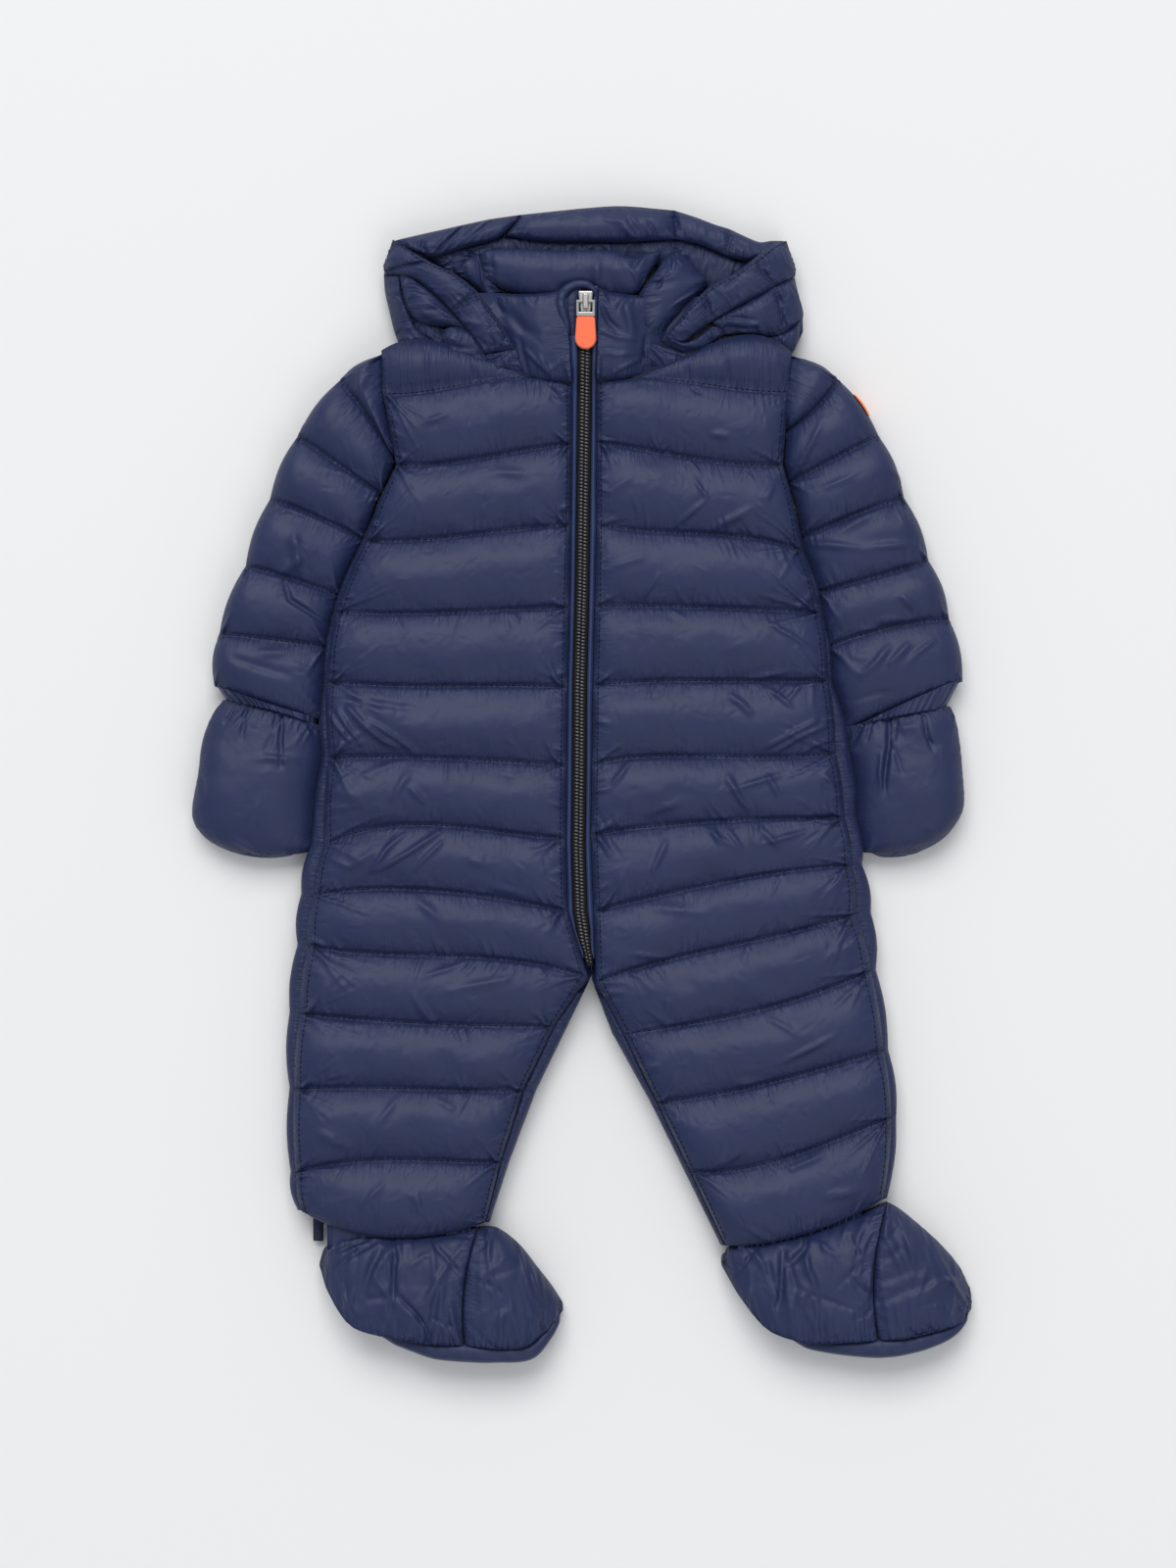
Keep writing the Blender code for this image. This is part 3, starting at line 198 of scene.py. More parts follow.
def edgeX(side, v):
    a, b, f = around(frontRows[side], v)
    full = body["bulge"] * swell(v) if v > armpitRow else 0.0
    return lerp(a.xEdge, b.xEdge, f) + signOf[side] * full


def channelRows(rows, perChannel):
    # mesh rows, evenly spaced in each channel, and True where a row is a stitch line
    places = []
    for k in range(len(rows) - 1):
        count = perChannel(k)
        places += [k + i / count for i in range(count)]
    places.append(float(len(rows) - 1))
    return places, [abs(v - round(v)) < 1e-9 for v in places]


# Soft noise from a fixed table: smooth, and the same on each run

noiseTable = np.random.default_rng(7).uniform(-1, 1, (64, 64))


def softNoise(x, y, seed=0):
    x = np.asarray(x, dtype=float) + 13.7 * seed
    y = np.asarray(y, dtype=float) + 5.3 * seed
    xi, yi = np.floor(x).astype(int), np.floor(y).astype(int)
    fx, fy = ease(x - xi), ease(y - yi)
    a, b = noiseTable[yi % 64, xi % 64], noiseTable[yi % 64, (xi + 1) % 64]
    c, d = noiseTable[(yi + 1) % 64, xi % 64], noiseTable[(yi + 1) % 64, (xi + 1) % 64]
    return lerp(lerp(a, b, fx), lerp(c, d, fx), fy)


# A sheet of cloth is a grid of points, with the ones that are sewn down

class Sheet:
    def __init__(self, name, points, sewn=None, loop=False, floor=None, topColumns=None,
                 low=0.0, inset=0.35):
        self.name = name
        self.points = np.array(points, dtype=float)
        self.sewn = np.zeros(self.points.shape[:2], dtype=bool) if sewn is None else np.array(sewn)
        self.loop = loop               # its columns close to a ring
        self.floor = floor             # lowest z that it may reach
        self.topColumns = topColumns   # the columns of a ring that lie on top
        self.low = low                 # height of the plain face that closes it underneath,
        self.inset = inset             # and how far that is in from its edges
        self.places = []               # its mesh rows, by the numbers of the table's rows
        self.quietRow = 0              # creases are weaker above this row
        p, q = self.points.reshape(-1, 3), self.quads()
        normal = np.cross(p[q[:, 1]] - p[q[:, 0]], p[q[:, 2]] - p[q[:, 0]])
        outward = ((p[q[:, 0]] - p.mean(axis=0)) * normal).sum() if loop else normal[:, 2].sum()
        self.turn = -1 if outward < 0 else 1   # order of the corners that faces each quad outwards

    def quads(self):
        rows, columns = self.points.shape[:2]
        last = columns if self.loop else columns - 1
        j, i = np.meshgrid(np.arange(rows - 1) * columns, np.arange(last), indexing="ij")
        k = (i + 1) % columns
        return np.stack([j + i, j + k, j + columns + k, j + columns + i], axis=-1).reshape(-1, 4)

    def faces(self, start=0):
        return (self.quads()[:, ::self.turn] + start).tolist()


def edgesSewn(count, row=False):
    # marks for one row of points: all of a sewn row, or its two edges
    line = np.full(count, row)
    line[[0, -1]] = True
    return line


def frontSheet(side):
    rows = frontRows[side]
    places, stitched = channelRows(
        rows, lambda k: max(3, int(round(abs(rows[k].yThird - rows[k + 1].yThird) / body["pitch"])))
    )
    columns = int(130 / body["pitch"])
    t = np.linspace(0, 1, columns + 1)
    points, stitchZ = [], body["stitchZ"]
    for v in places:
        a, b, f = around(rows, v)
        zIn = lerp(stitchZ, body["seamZ"], clamp(3 * (v - forkRow)))
        zOut = lerp(body["armholeZ"], body["seamZ"], clamp(v - armpitRow))
        top, low = stitchY(a, t), stitchY(b, t)
        z = stitchZ - (stitchZ - zIn) * (1 - t) ** 12 - (stitchZ - zOut) * t ** 12
        z = z + np.minimum(body["puff"], body["puffShare"] * (top - low)) * arch(f) * closing(t)
        x = lerp(lerp(a.xIn, b.xIn, f), seamX(side, v), t)
        points.append(np.stack([x, lerp(top, low, f), z], axis=-1))
    sewn = [edgesSewn(columns + 1, line) for line in stitched]
    made = Sheet(f"front_{side}", points, sewn, low=body["frontLow"])
    made.quietRow = places.index(1.0)
    return made


sleeve = {
    "pitch": 2.1, "edgeZ": 10.0, "puff": 8.5, "puffShare": 0.23, "bulge": 2.5,
    "topColumns": 38, "underColumns": 12,
    "right": named(section, (
        (-108.2, 189.6, -116, 247.2, 5, 21), (-108.6, 185.6, -139.4, 231.6, -2, 20.5),
        (-113.1, 164.9, -163.5, 199.6, 0, 20.5), (-126.6, 140.8, -179.2, 163.8, -1, 20.5),
        (-141.7, 108.4, -193.2, 125.2, -1, 20.5), (-146.2, 79.2, -208.3, 86.5, 0, 20.5),
        (-150.1, 37.2, -211.1, 56.3, 0.5, 20.5),
    )),
    "left": named(section, (
        (117.2, 209.7, 120.8, 246.7, -1, 21), (117.2, 202, 146.7, 232.7, -3, 20.5),
        (118.4, 172.8, 170.2, 200.2, 0, 20.5), (126.6, 141.4, 184.8, 164.4, 1, 20.5),
        (135, 110.6, 198.8, 128.5, -1, 20.5), (140.6, 78.7, 210.6, 94.9, 3, 20.5),
        (153.4, 32.2, 218.4, 59.1, 0.5, 20.5),
    )),
}
mitten = {
    "pitch": 1.9, "edgeZ": 10.0, "topColumns": 42, "underColumns": 14,
    "gather": 0.9, "gathers": 30, "gatherLength": 12.0,
    "right": named(section, (
        (-151, 34, -206, 48.6, -1.5, 21), (-151.5, 25.5, -212.5, 39.5, -1, 25.5),
        (-152, 14, -218, 25, -1, 27.5), (-152.5, 0, -220.5, 6, -1, 29.5),
        (-153.5, -20.5, -224, -16.5, 1, 28.5), (-156, -32.5, -218.5, -28.5, 2.5, 24),
        (-160, -38, -208, -36, 3, 17), (-167, -40.6, -197, -40, 1.5, 10),
    )),
    "left": named(section, (
        (154.5, 33, 211, 45, 1, 21), (155.5, 25, 214.5, 37, 1, 25.5), (157, 14, 217, 22.5, 1, 27.5),
        (158.5, 1, 218.6, 4.5, 0.5, 29.5), (160, -18, 219, -13, -1, 28.5),
        (161, -31.5, 212.5, -25.5, -2.5, 24), (164, -38, 204, -33.5, -2, 17),
        (170, -41, 193, -39, -1, 10),
    )),
}
# Booties lie on their sides: sections run from the sole edge to the ankle edge, outwards
# from the toe seam
bootie = {
    "pitch": 1.9, "edgeZ": 14.0, "topColumns": 36, "underColumns": 12,
    "gather": 1.0, "soleShare": 0.86,
    "underHem": {"quarter": (5.5, 5.5, 5.5, 5.5, 5.0, 0.0), "toe": (5.5, 0.0, 0.0, 0.0, 0.0, 0.0)},
    "quarter_right": named(section, (
        (-67.2, -319.4, -59.5, -258.8, 3.8, 34), (-86.2, -319, -86.2, -262.4, 0, 35),
        (-105.8, -316.2, -108.6, -263, 0, 34), (-131, -309.5, -129.9, -262.8, 0, 30),
        (-144.5, -292, -142.2, -263.5, 0, 23), (-150.6, -277, -147.5, -266, 0, 12.5),
    )),
    "toe_right": named(section, (
        (-67.2, -319.4, -59.5, -258.8, 3.8, 34), (-49.8, -321.3, -48.8, -254, 0, 35),
        (-33, -320.8, -36.4, -263.2, 0, 33), (-23, -314.6, -26, -276.2, 0, 27),
        (-15.7, -307.8, -17, -288.4, 0, 19), (-11.6, -302.8, -12, -297, 0, 10),
    )),
    "quarter_left": named(section, (
        (169.1, -316.8, 174.5, -244.6, 5.5, 34), (150.1, -318, 146.2, -256, 0, 35),
        (129.4, -318.4, 123.8, -262.6, 0, 34), (107, -311.8, 101.4, -267.2, 0, 30),
        (91.3, -294.5, 86.2, -268.8, 0, 23), (80.6, -277, 81.4, -270, 0, 12.5),
    )),
    "toe_left": named(section, (
        (169.1, -316.8, 174.5, -244.6, 5.5, 34), (185.4, -315.4, 182, -243.2, 0, 35),
        (199.4, -312.5, 194, -253, 0, 33), (210, -310.2, 206, -264, 0, 28),
        (218.2, -307.4, 216.4, -276.6, 0, 20), (223.2, -301.5, 222.6, -289, 0, 11),
    )),
}
strip = namedtuple("strip", "xUpper yUpper xEdge yEdge height")
sole = {
    "steps": 64, "ring": 18,
    "right": named(strip, (
        (-124.3, -312.6, -123.2, -315.6, 14), (-103, -317, -103, -322.8, 22),
        (-86.2, -319.6, -85.1, -328.8, 26), (-67.2, -320, -67.2, -330.6, 27),
        (-48.2, -321.9, -48.2, -331, 27), (-31.4, -320.9, -28.6, -329.2, 25),
        (-21.4, -313.9, -17.2, -317.2, 20), (-13.6, -304.6, -10.6, -304.2, 13),
    )),
    "left": named(strip, (
        (112.6, -314.6, 113.7, -317.8, 14), (131.6, -319.2, 131.6, -324, 22),
        (154, -318.6, 154, -327.3, 26), (169.1, -317.4, 171.4, -328.2, 27),
        (185.6, -316.2, 188.2, -325.9, 27), (200.4, -313.2, 205, -320.6, 25),
        (211.4, -310.8, 216.2, -313.9, 20), (220.4, -305, 223.6, -304, 13),
    )),
}


def smoothPlace(rows, v):
    # a place between the table's rows, on a smooth curve through them
    k = min(int(v), len(rows) - 2)
    f = v - k
    p1, p2 = np.array(rows[k]), np.array(rows[k + 1])
    p0 = np.array(rows[k - 1]) if k > 0 else 2 * p1 - p2
    p3 = np.array(rows[k + 2]) if k + 2 < len(rows) else 2 * p2 - p1
    return 0.5 * (2 * p1 + (p2 - p0) * f + (2 * p0 - 5 * p1 + 4 * p2 - p3) * f * f
                  + (3 * p1 - p0 - 3 * p2 + p3) * f ** 3)


def smoothRow(rows, v):
    return type(rows[0])(*smoothPlace(rows, v))


def across(row, t):
    dx, dy = row.xOut - row.xIn, row.yOut - row.yIn
    off = row.bow * 4 * t * (1 - t) / math.hypot(dx, dy)
    return row.xIn + dx * t - dy * off, row.yIn + dy * t + dx * off


def tubeRing(row, edgeZ, topColumns, underColumns, puff=0.0):
    # ring round a flattened tube: over the top from its inner edge, back along the table
    edgeZ = min(edgeZ, row.height * 0.5)
    t = 0.5 - 0.5 * np.cos(np.pi * np.arange(topColumns + 1) / topColumns)
    z = edgeZ + (row.height - edgeZ) * np.sqrt(1 - np.abs(2 * t - 1) ** 3) + puff * closing(t)
    u = 0.5 + 0.5 * np.cos(np.pi * np.arange(1, underColumns) / underColumns)
    under = edgeZ * (1 - np.sqrt(1 - np.abs(2 * u - 1) ** 5))
    ring = [np.stack([*across(row, t), z], axis=-1), np.stack([*across(row, u), under], axis=-1)]
    return np.concatenate(ring), t


def bodyOutline(side):
    places, _ = channelRows(frontRows[side], lambda k: 6)
    spans = [around(frontRows[side], v) for v in places]
    return (np.array([lerp(a.yOut, b.yOut, f) for a, b, f in spans])[::-1],
            np.array([edgeX(side, v) for v in places])[::-1])


outline = {side: bodyOutline(side) for side in sides}


def meetBody(side, row, nearest=6.0):
    # the tube's inner edge goes to the body's side where it is close to it
    limit = float(np.interp(row.yIn, *outline[side])) - signOf[side] * 1.0
    return row._replace(xIn=limit) if 0 < signOf[side] * (row.xIn - limit) < nearest else row


def besideBody(side, points, clearance=0.6):
    s = signOf[side]
    limit = np.interp(points[..., 1], *outline[side]) + s * clearance
    points[..., 0] = np.where(s * points[..., 0] > s * limit, points[..., 0], limit)
    return points


def backSheet(side):
    # from the side seam, round the rolled side and under to the centre back or the inside leg
    s, rows = signOf[side], frontRows[side]
    places, stitched = channelRows(
        rows, lambda k: max(3, int(round(abs(rows[k].yOut - rows[k + 1].yOut) / body["backPitch"])))
    )
    edgeZ, seamZ = body["edgeZ"], body["seamZ"]
    points = []
    for v in places:
        a, b, f = around(rows, v)
        leg, wrap = float(clamp(3 * (v - forkRow))), float(clamp(v - armpitRow))
        yIn, yOut = lerp(251.0 if v < 1 else a.yIn, b.yIn, f), lerp(a.yOut, b.yOut, f)
        xBack = lerp(a.xBack, b.xBack, f) + s * 0.2
        xInseam = lerp(xBack, lerp(a.xIn, b.xIn, f) - s * 0.4, leg)
        xSeam = seamX(side, v) - s * 1.2
        xEdge = lerp(xSeam, edgeX(side, v), wrap)
        groove = body["backGroove"] * (1 - arch(f, 0.5))
        top = lerp(body["backLow"] + 0.2, seamZ - 0.8, wrap)
        inSide, inLeg = s * body["sideRound"] * wrap, s * body["sideRound"] * leg
        outer = [(lerp(xSeam, xEdge, sin), yOut, edgeZ + (top - edgeZ) * cos)
                 for sin, cos in quarter(5)[:-1]]
        outer += [(xEdge - inSide * (1 - cos), yOut, max(groove, edgeZ * (1 - sin)))
                  for sin, cos in quarter(5)]
        path = [(xEdge - inSide, yOut, groove), (xBack + inLeg, yIn, groove)]
        path += [(xBack + inLeg * (1 - sin), yIn, groove + (edgeZ - groove) * leg * (1 - cos))
                 for sin, cos in quarter(6)[1:]]
        path += [(lerp(xBack, xInseam, 1 - cos), yIn, lerp(groove, lerp(edgeZ, seamZ, sin), leg))
                 for sin, cos in quarter(5)[1:]]
        path = np.array(path)
        length = lengthAlong(path)
        roll = length[-1] - body["rollLength"]
        where = np.concatenate([np.linspace(0, roll, body["backColumns"] + 1)[1:],
                                np.linspace(roll, length[-1], body["rollColumns"] + 1)[1:]])
        rest = np.stack([np.interp(where, length, path[:, c]) for c in range(3)], axis=-1)
        points.append(np.concatenate([np.array(outer), rest]))
    sewn = [edgesSewn(len(points[0]), line) for line in stitched]
    return Sheet(f"back_{side}", points, sewn, floor=0.0, low=body["backLow"])


def sleeveSheet(side):
    rows = sleeve[side]
    pitches = [math.hypot(b.xOut - a.xOut, b.yOut - a.yOut) for a, b in zip(rows, rows[1:])]
    places, stitched = channelRows(rows, lambda k: int(round(pitches[k] / sleeve["pitch"])))
    points = []
    for v in places:
        a, b, f = around(rows, v)
        row = between(a, b, f)
        rise = min(sleeve["puff"], sleeve["puffShare"] * pitches[min(int(v), len(pitches) - 1)]) * arch(f)
        grow = sleeve["bulge"] * swell(v) / math.hypot(row.xOut - row.xIn, row.yOut - row.yIn)
        row = row._replace(xOut=row.xOut + (row.xOut - row.xIn) * grow,
                           yOut=row.yOut + (row.yOut - row.yIn) * grow)
        ring, t = tubeRing(meetBody(side, row), sleeve["edgeZ"], sleeve["topColumns"],
                           sleeve["underColumns"], rise)
        under = float(clamp(1 - v / 0.6))     # tucked in at the armhole
        ring[:, 0] -= signOf[side] * 4.0 * under
        ring[:, 2] *= 1 - 0.12 * under
        points.append(besideBody(side, ring, lerp(-6.0, -1.0, clamp(v / 1.5))))
    sewn = [np.full(len(points[0]), line) for line in stitched]
    made = Sheet(f"sleeve_{side}", points, sewn, loop=True, floor=0.0, topColumns=sleeve["topColumns"])
    made.places = places
    return made


def padRings(name, points, topColumns, ends):
    # a closed pad of rings: its far end is rounded off with rings that shrink to a small one
    ring, before = points[-1], points[-2]
    middle = ring.mean(axis=0)
    along = middle - before.mean(axis=0)
    along /= np.linalg.norm(along)
    sewn = [np.full(len(ring), j == 0) for j in range(len(points))]
    for line in sewn:
        line[[0, topColumns]] = True
    for shrink, out in ends:
        points.append(middle + (ring - middle) * shrink + along * out)
        sewn.append(np.full(len(ring), True))
    return Sheet(name, points, sewn, loop=True, floor=0.0, topColumns=topColumns)


def mittenSheet(side):
    rows = mitten[side]
    count = int((abs(rows[-1].yIn - rows[0].yIn) + 10) / mitten["pitch"])
    points = []
    for j in range(count + 1):
        row = meetBody(side, smoothRow(rows, (len(rows) - 1) * j / count), 5.0)
        ring, t = tubeRing(row, mitten["edgeZ"], mitten["topColumns"], mitten["underColumns"])
        gone = abs(row.yIn - rows[0].yIn) / mitten["gatherLength"]
        depth = mitten["gather"] * math.exp(-2.2 * gone)
        wave = np.sin(2 * np.pi * mitten["gathers"] * t + 1.5 * softNoise(t * 9, 0, 5)) * closing(t)
        ring[:len(t), 2] += depth * wave * (0.6 + 0.5 * softNoise(t * 14, 2, 6))
        points.append(besideBody(side, ring, -1.0))
    return padRings(f"mitten_{side}", points, mitten["topColumns"], ((0.9, 1.0), (0.6, 1.8)))


def bootieSheet(part, side):
    toward = 0.2 if part == "toe" else -0.2     # gap at the toe seam
    rows = [r._replace(yOut=r.yOut + more)
            for r, more in zip(bootie[f"{part}_{side}"], bootie["underHem"][part])]
    rows[0] = rows[0]._replace(xIn=rows[0].xIn + toward, xOut=rows[0].xOut + toward)
    count = int(abs(rows[-1].xIn - rows[0].xIn) / bootie["pitch"])
    points = []
    for j in range(count + 1):
        row = smoothRow(rows, (len(rows) - 1) * (j / count))
        row = row._replace(height=row.height * (1 - 0.1 * math.exp(-abs(row.xIn - rows[0].xIn) / 3.0)))
        ring, t = tubeRing(row, bootie["edgeZ"], bootie["topColumns"], bootie["underColumns"])
        wave = softNoise(row.xOut / 5.5, t * 1.3, 9) + 0.6 * softNoise(row.xOut / 3.0, t * 2, 11)
        ring[:len(t), 2] += bootie["gather"] * wave * closing(t) * (0.15 + 0.85 * t ** 1.5)
        foot = bootie["soleShare"] * row.height
        rise = (row.height - foot) * np.sin(0.5 * np.pi * clamp(t / 0.3))
        ring[:len(t), 2] = np.where(t < 0.5, np.maximum(ring[:len(t), 2], foot + rise), ring[:len(t), 2])
        points.append(ring)
    return padRings(f"bootie_{part}_{side}", points, bootie["topColumns"], ((0.88, 0.8), (0.55, 1.4)))


# Pads of the hood and the back collar. Each row has a point on one edge and one on the other,
# x, y, z; cross names the rows that are sewn down, and low is the underside's height
pad = namedtuple("pad", "puff low cross rows")
padPitch, padDip = 2.0, 0.6

pads = {
    "hood_right": {
        "front": pad(6.5, 12.0, (1, 4), (
            (-108.6, 312.6, 14, -110.9, 306, 13), (-87.9, 299, 25, -113.1, 294.3, 14),
            (-72.5, 291.3, 27, -96.2, 288.9, 21), (-61.8, 283, 28, -85.7, 280.8, 24),
            (-58.2, 278.9, 28.5, -74.8, 270.2, 24), (-46.4, 262.8, 28.5, -65, 258.4, 25),
            (-38.1, 248.6, 27, -55.9, 246.2, 25),
        )),
        "outer": pad(5.0, 0.3, (), (
            (-105.1, 290.9, 20, -113.9, 292.4, 10), (-103.3, 280.6, 20, -113.3, 283, 10),
            (-100.2, 271.9, 19, -110.9, 272.3, 10), (-95.2, 261.8, 18, -108, 260.5, 10),
            (-86.2, 254, 18, -104.4, 251, 12), (-80.6, 250.6, 18, -102.5, 248.9, 14),
        )),
        "corner": pad(1.5, 0.3, (), (
            (-108.1, 311.6, 13, -108.9, 311.1, 10), (-107.5, 301.6, 16, -112.3, 302.1, 10),
            (-105.3, 291.5, 18, -113.9, 292.4, 10),
        )),
        "lobe": pad(7.0, 12.0, (), (
            (-104.7, 291.5, 19, -104.2, 292.7, 19), (-103.6, 284.8, 20, -96.2, 288.7, 21),
            (-102.5, 278.6, 20, -85.7, 280.6, 24), (-99.7, 271.9, 20, -77.3, 272.4, 24),
            (-96.9, 267.4, 20, -70.6, 265.2, 24), (-93, 264, 18, -65, 260.1, 24),
        )),
        "crumple": pad(3.0, 10.0, (), (
            (-98, 268.5, 15, -95.8, 261.2, 15), (-90.2, 266.3, 15, -89.6, 255.1, 15),
            (-77.8, 261.2, 15, -78.4, 248.9, 15),
        )),
        "lower": pad(6.5, 12.0, (), (
            (-80.9, 259, 20, -80.6, 256.8, 20), (-76.2, 261.5, 22, -79.5, 251, 20),
            (-70.6, 261.8, 23, -76.7, 245, 20), (-63.8, 258.7, 24, -67.8, 241.1, 20),
            (-58.8, 251.7, 24, -59.4, 238, 20), (-55.3, 245.6, 24, -52.6, 236.6, 21),
        )),
        "hem": pad(4.0, 12.0, (), (
            (-55.4, 246.1, 24, -54.3, 236.6, 21), (-48.2, 246.7, 25, -47, 235.8, 21),
            (-42.6, 247.8, 26, -39.8, 235.5, 21), (-37.5, 249.5, 26, -31.4, 234.6, 21),
        )),
    },
    "hood_left": {
        "front": pad(6.5, 12.0, (2, 5), (
            (117.2, 311.8, 14, 118.7, 307.2, 13), (108.1, 308.6, 22, 122.1, 292.6, 14),
            (98, 300.2, 26, 109.8, 284.2, 21), (85.8, 291.3, 27, 101.4, 279.2, 24),
            (74.9, 285.8, 28, 88.5, 271.9, 24), (67.2, 278.9, 28.5, 73.5, 264, 25),
            (58.2, 269.1, 28.5, 68.3, 260.1, 25), (45.1, 253.4, 27, 57.7, 252.3, 25),
        )),
        "outer": pad(7.0, 0.3, (2,), (
            (121.9, 290.9, 13, 124.7, 279.2, 10), (117, 288.1, 18, 126.8, 268, 10),
            (109.8, 284.2, 22, 117, 258.4, 14), (101.4, 279.2, 24, 109.8, 256.8, 17),
            (91.3, 273.6, 25, 101.4, 256.2, 18), (81.8, 268.2, 25, 91.8, 257.3, 19),
            (74.5, 264, 25, 81.8, 257, 20),
        )),
        "corner": pad(1.5, 0.3, (), (
            (116.5, 310.8, 13, 117.9, 310.5, 10), (117.6, 301.6, 16, 120.7, 301.6, 10),
            (118.7, 290.4, 18, 122.4, 292, 10),
        )),
        "tail": pad(4.5, 0.3, (), (
            (105.8, 256.2, 16, 108.6, 253.4, 14), (115.9, 258.4, 16, 114.8, 247.8, 13),
            (122.6, 263.5, 14, 120.4, 247.2, 10), (126.7, 270.2, 10, 126.9, 260.1, 8),
        )),
        "roll": pad(4.0, 12.0, (), (
            (44.8, 253.7, 26, 45.9, 252.3, 22), (50.4, 255.6, 27, 51.5, 249.5, 22),
            (58.5, 252.3, 26, 58.2, 247.2, 22), (66.6, 255.8, 26, 69.4, 248.6, 22),
            (73.5, 261.2, 25, 76.7, 254, 21), (80.1, 260.7, 23, 81.8, 257.9, 21),
        )),
        "hem": pad(5.0, 12.0, (), (
            (34.2, 254, 25, 34.2, 236.6, 20), (40.3, 252.3, 24, 40.9, 237.7, 20),
            (50.4, 249.5, 23, 50.4, 237.2, 20), (59.4, 246.7, 22, 59.4, 241.1, 20),
            (72.8, 248.9, 21, 73.9, 246.7, 20),
        )),
    },
    "hood_centre": {
        "right": pad(7.0, 0.3, (3,), (
            (-108.4, 311.9, 12, -106.4, 310, 14), (-100.8, 313.6, 14, -95.2, 304.9, 18),
            (-82.9, 317.5, 15, -90.2, 303.2, 19), (-67.8, 320.9, 15, -85.7, 301.6, 19),
            (-53.2, 324, 15, -65, 308.3, 19), (-42.6, 325.6, 15, -48.7, 312.8, 19),
            (-35, 326.6, 15, -36.4, 324, 16),
        )),
        "middle": pad(8.5, 0.3, (4,), (
            (-35, 326.6, 15, -43.7, 314.4, 18), (-19, 328.2, 16, -25.8, 311.1, 19),
            (3.4, 330.4, 16, 3.4, 310.5, 19), (24.1, 331.4, 16, 25.8, 310.5, 19),
            (52.6, 329, 16, 53.2, 312.2, 19),
        )),
        "left": pad(7.0, 0.3, (3,), (
            (52.6, 329, 16, 53.2, 312.2, 19), (65, 325.1, 16, 66.1, 309.4, 19),
            (76.2, 320.8, 16, 75, 306, 19), (84, 318.4, 16, 82.9, 302.7, 19),
            (94.1, 313.9, 15, 91.3, 299.9, 19), (101.9, 311.1, 14, 98.6, 300.4, 19),
            (108.6, 311.9, 13, 104.7, 304.9, 19), (115.9, 311.9, 12, 113.1, 309.4, 15),
        )),
        "inner": pad(3.0, 0.3, (2, 7), (
            (-90.7, 303.8, 13, -71.7, 289.2, 12), (-80.6, 304.9, 14, -66.1, 291.5, 12),
            (-66.6, 308.3, 14, -57.1, 294.8, 12), (-45.9, 313.9, 14, -44.8, 297.1, 12),
            (-19, 312.2, 14, -19, 297.1, 12), (3.4, 311.6, 14, 3.4, 297.1, 12),
            (31.4, 311.6, 14, 31.4, 297.1, 12), (53.2, 312.8, 14, 56, 294.3, 12),
            (67.2, 309.4, 14, 66.1, 288.7, 12), (82.9, 303.8, 14, 75, 280.3, 12),
            (90.7, 300.4, 14, 81.8, 283.1, 12), (97.4, 301.6, 14, 88.5, 287, 12),
        )),
    },
    "collar_back": {
        "middle": pad(10.0, 11.0, (), (
            (-58.8, 303.8, 22, -56.6, 290.9, 22), (-52.6, 305.4, 24, -51, 285.9, 22),
            (-41.4, 305.5, 25, -40.3, 282, 21), (-27.4, 305.4, 25, -25.8, 278, 21),
            (-10.6, 304.9, 25, -10.1, 278, 21), (3.4, 305.2, 25, 3.4, 278, 21),
            (17.4, 304.6, 25, 17.4, 278, 21), (28.6, 301, 24, 25.8, 278, 21),
            (36.4, 303.5, 23, 31.4, 280.3, 21), (45.4, 304.9, 22, 34.7, 284.8, 21),
        )),
        "right": pad(5.0, 11.0, (), (
            (-74.3, 294.8, 16, -73.4, 293.2, 16), (-67.8, 299.4, 18, -66.1, 288.7, 17),
            (-60.6, 303.5, 20, -59.9, 283.6, 17), (-58.2, 300.7, 21, -53.2, 279.2, 18),
            (-55.4, 289.2, 21, -45.9, 282, 20),
        )),
        "left": pad(9.0, 11.0, (), (
            (46.5, 300.4, 20, 53, 305.6, 17), (43.7, 295.4, 23, 61.6, 300.4, 17),
            (39.2, 289.2, 24, 67.2, 293.2, 17), (34.7, 283.6, 25, 71.7, 288.1, 17),
            (32.5, 278.6, 26, 68.3, 281.4, 18), (33.6, 271.3, 26, 60.5, 274.1, 18),
            (35.3, 262.4, 26, 52.6, 264.6, 18), (37, 253.4, 25, 45.9, 254.5, 18),
        )),
    },
}


def padSheet(node, name):
    made = pads[node][name]
    rows = [np.array(r, dtype=float).reshape(2, 3) for r in made.rows]
    columns = max(6, int(max(np.linalg.norm(r[1] - r[0]) for r in rows) / padPitch))

    def perRow(k):
        gone = np.linalg.norm(rows[k + 1] - rows[k], axis=1)
        return max(2, int(round((0.3 * gone.min() + 0.7 * gone.max()) / padPitch)))

    places, _ = channelRows(rows, perRow)
    t = np.linspace(0, 1, columns + 1)
    length = lengthAlong([smoothPlace(rows, v).mean(axis=0) for v in places])
    points = []
    for v, at in zip(places, length):
        first, second = smoothPlace(rows, v)
        full = min(1.0, math.sqrt((at + 0.02) / 9), math.sqrt((length[-1] - at + 0.02) / 9))
        for c in made.cross:
            full *= 1 - padDip * math.exp(-abs(at - length[places.index(float(c))]) / 4)
        line = first + (second - first) * t[:, None]
        line[:, 2] += min(made.puff, 0.4 * np.linalg.norm(second - first)) * full * arch(t, 0.6)
        points.append(line)
    sewn = [edgesSewn(len(t), v in made.cross or v in (0.0, len(rows) - 1.0)) for v in places]
    return Sheet(f"{node} {name}", points, sewn, low=made.low, inset=2.5 if made.low < 1 else 0.6)


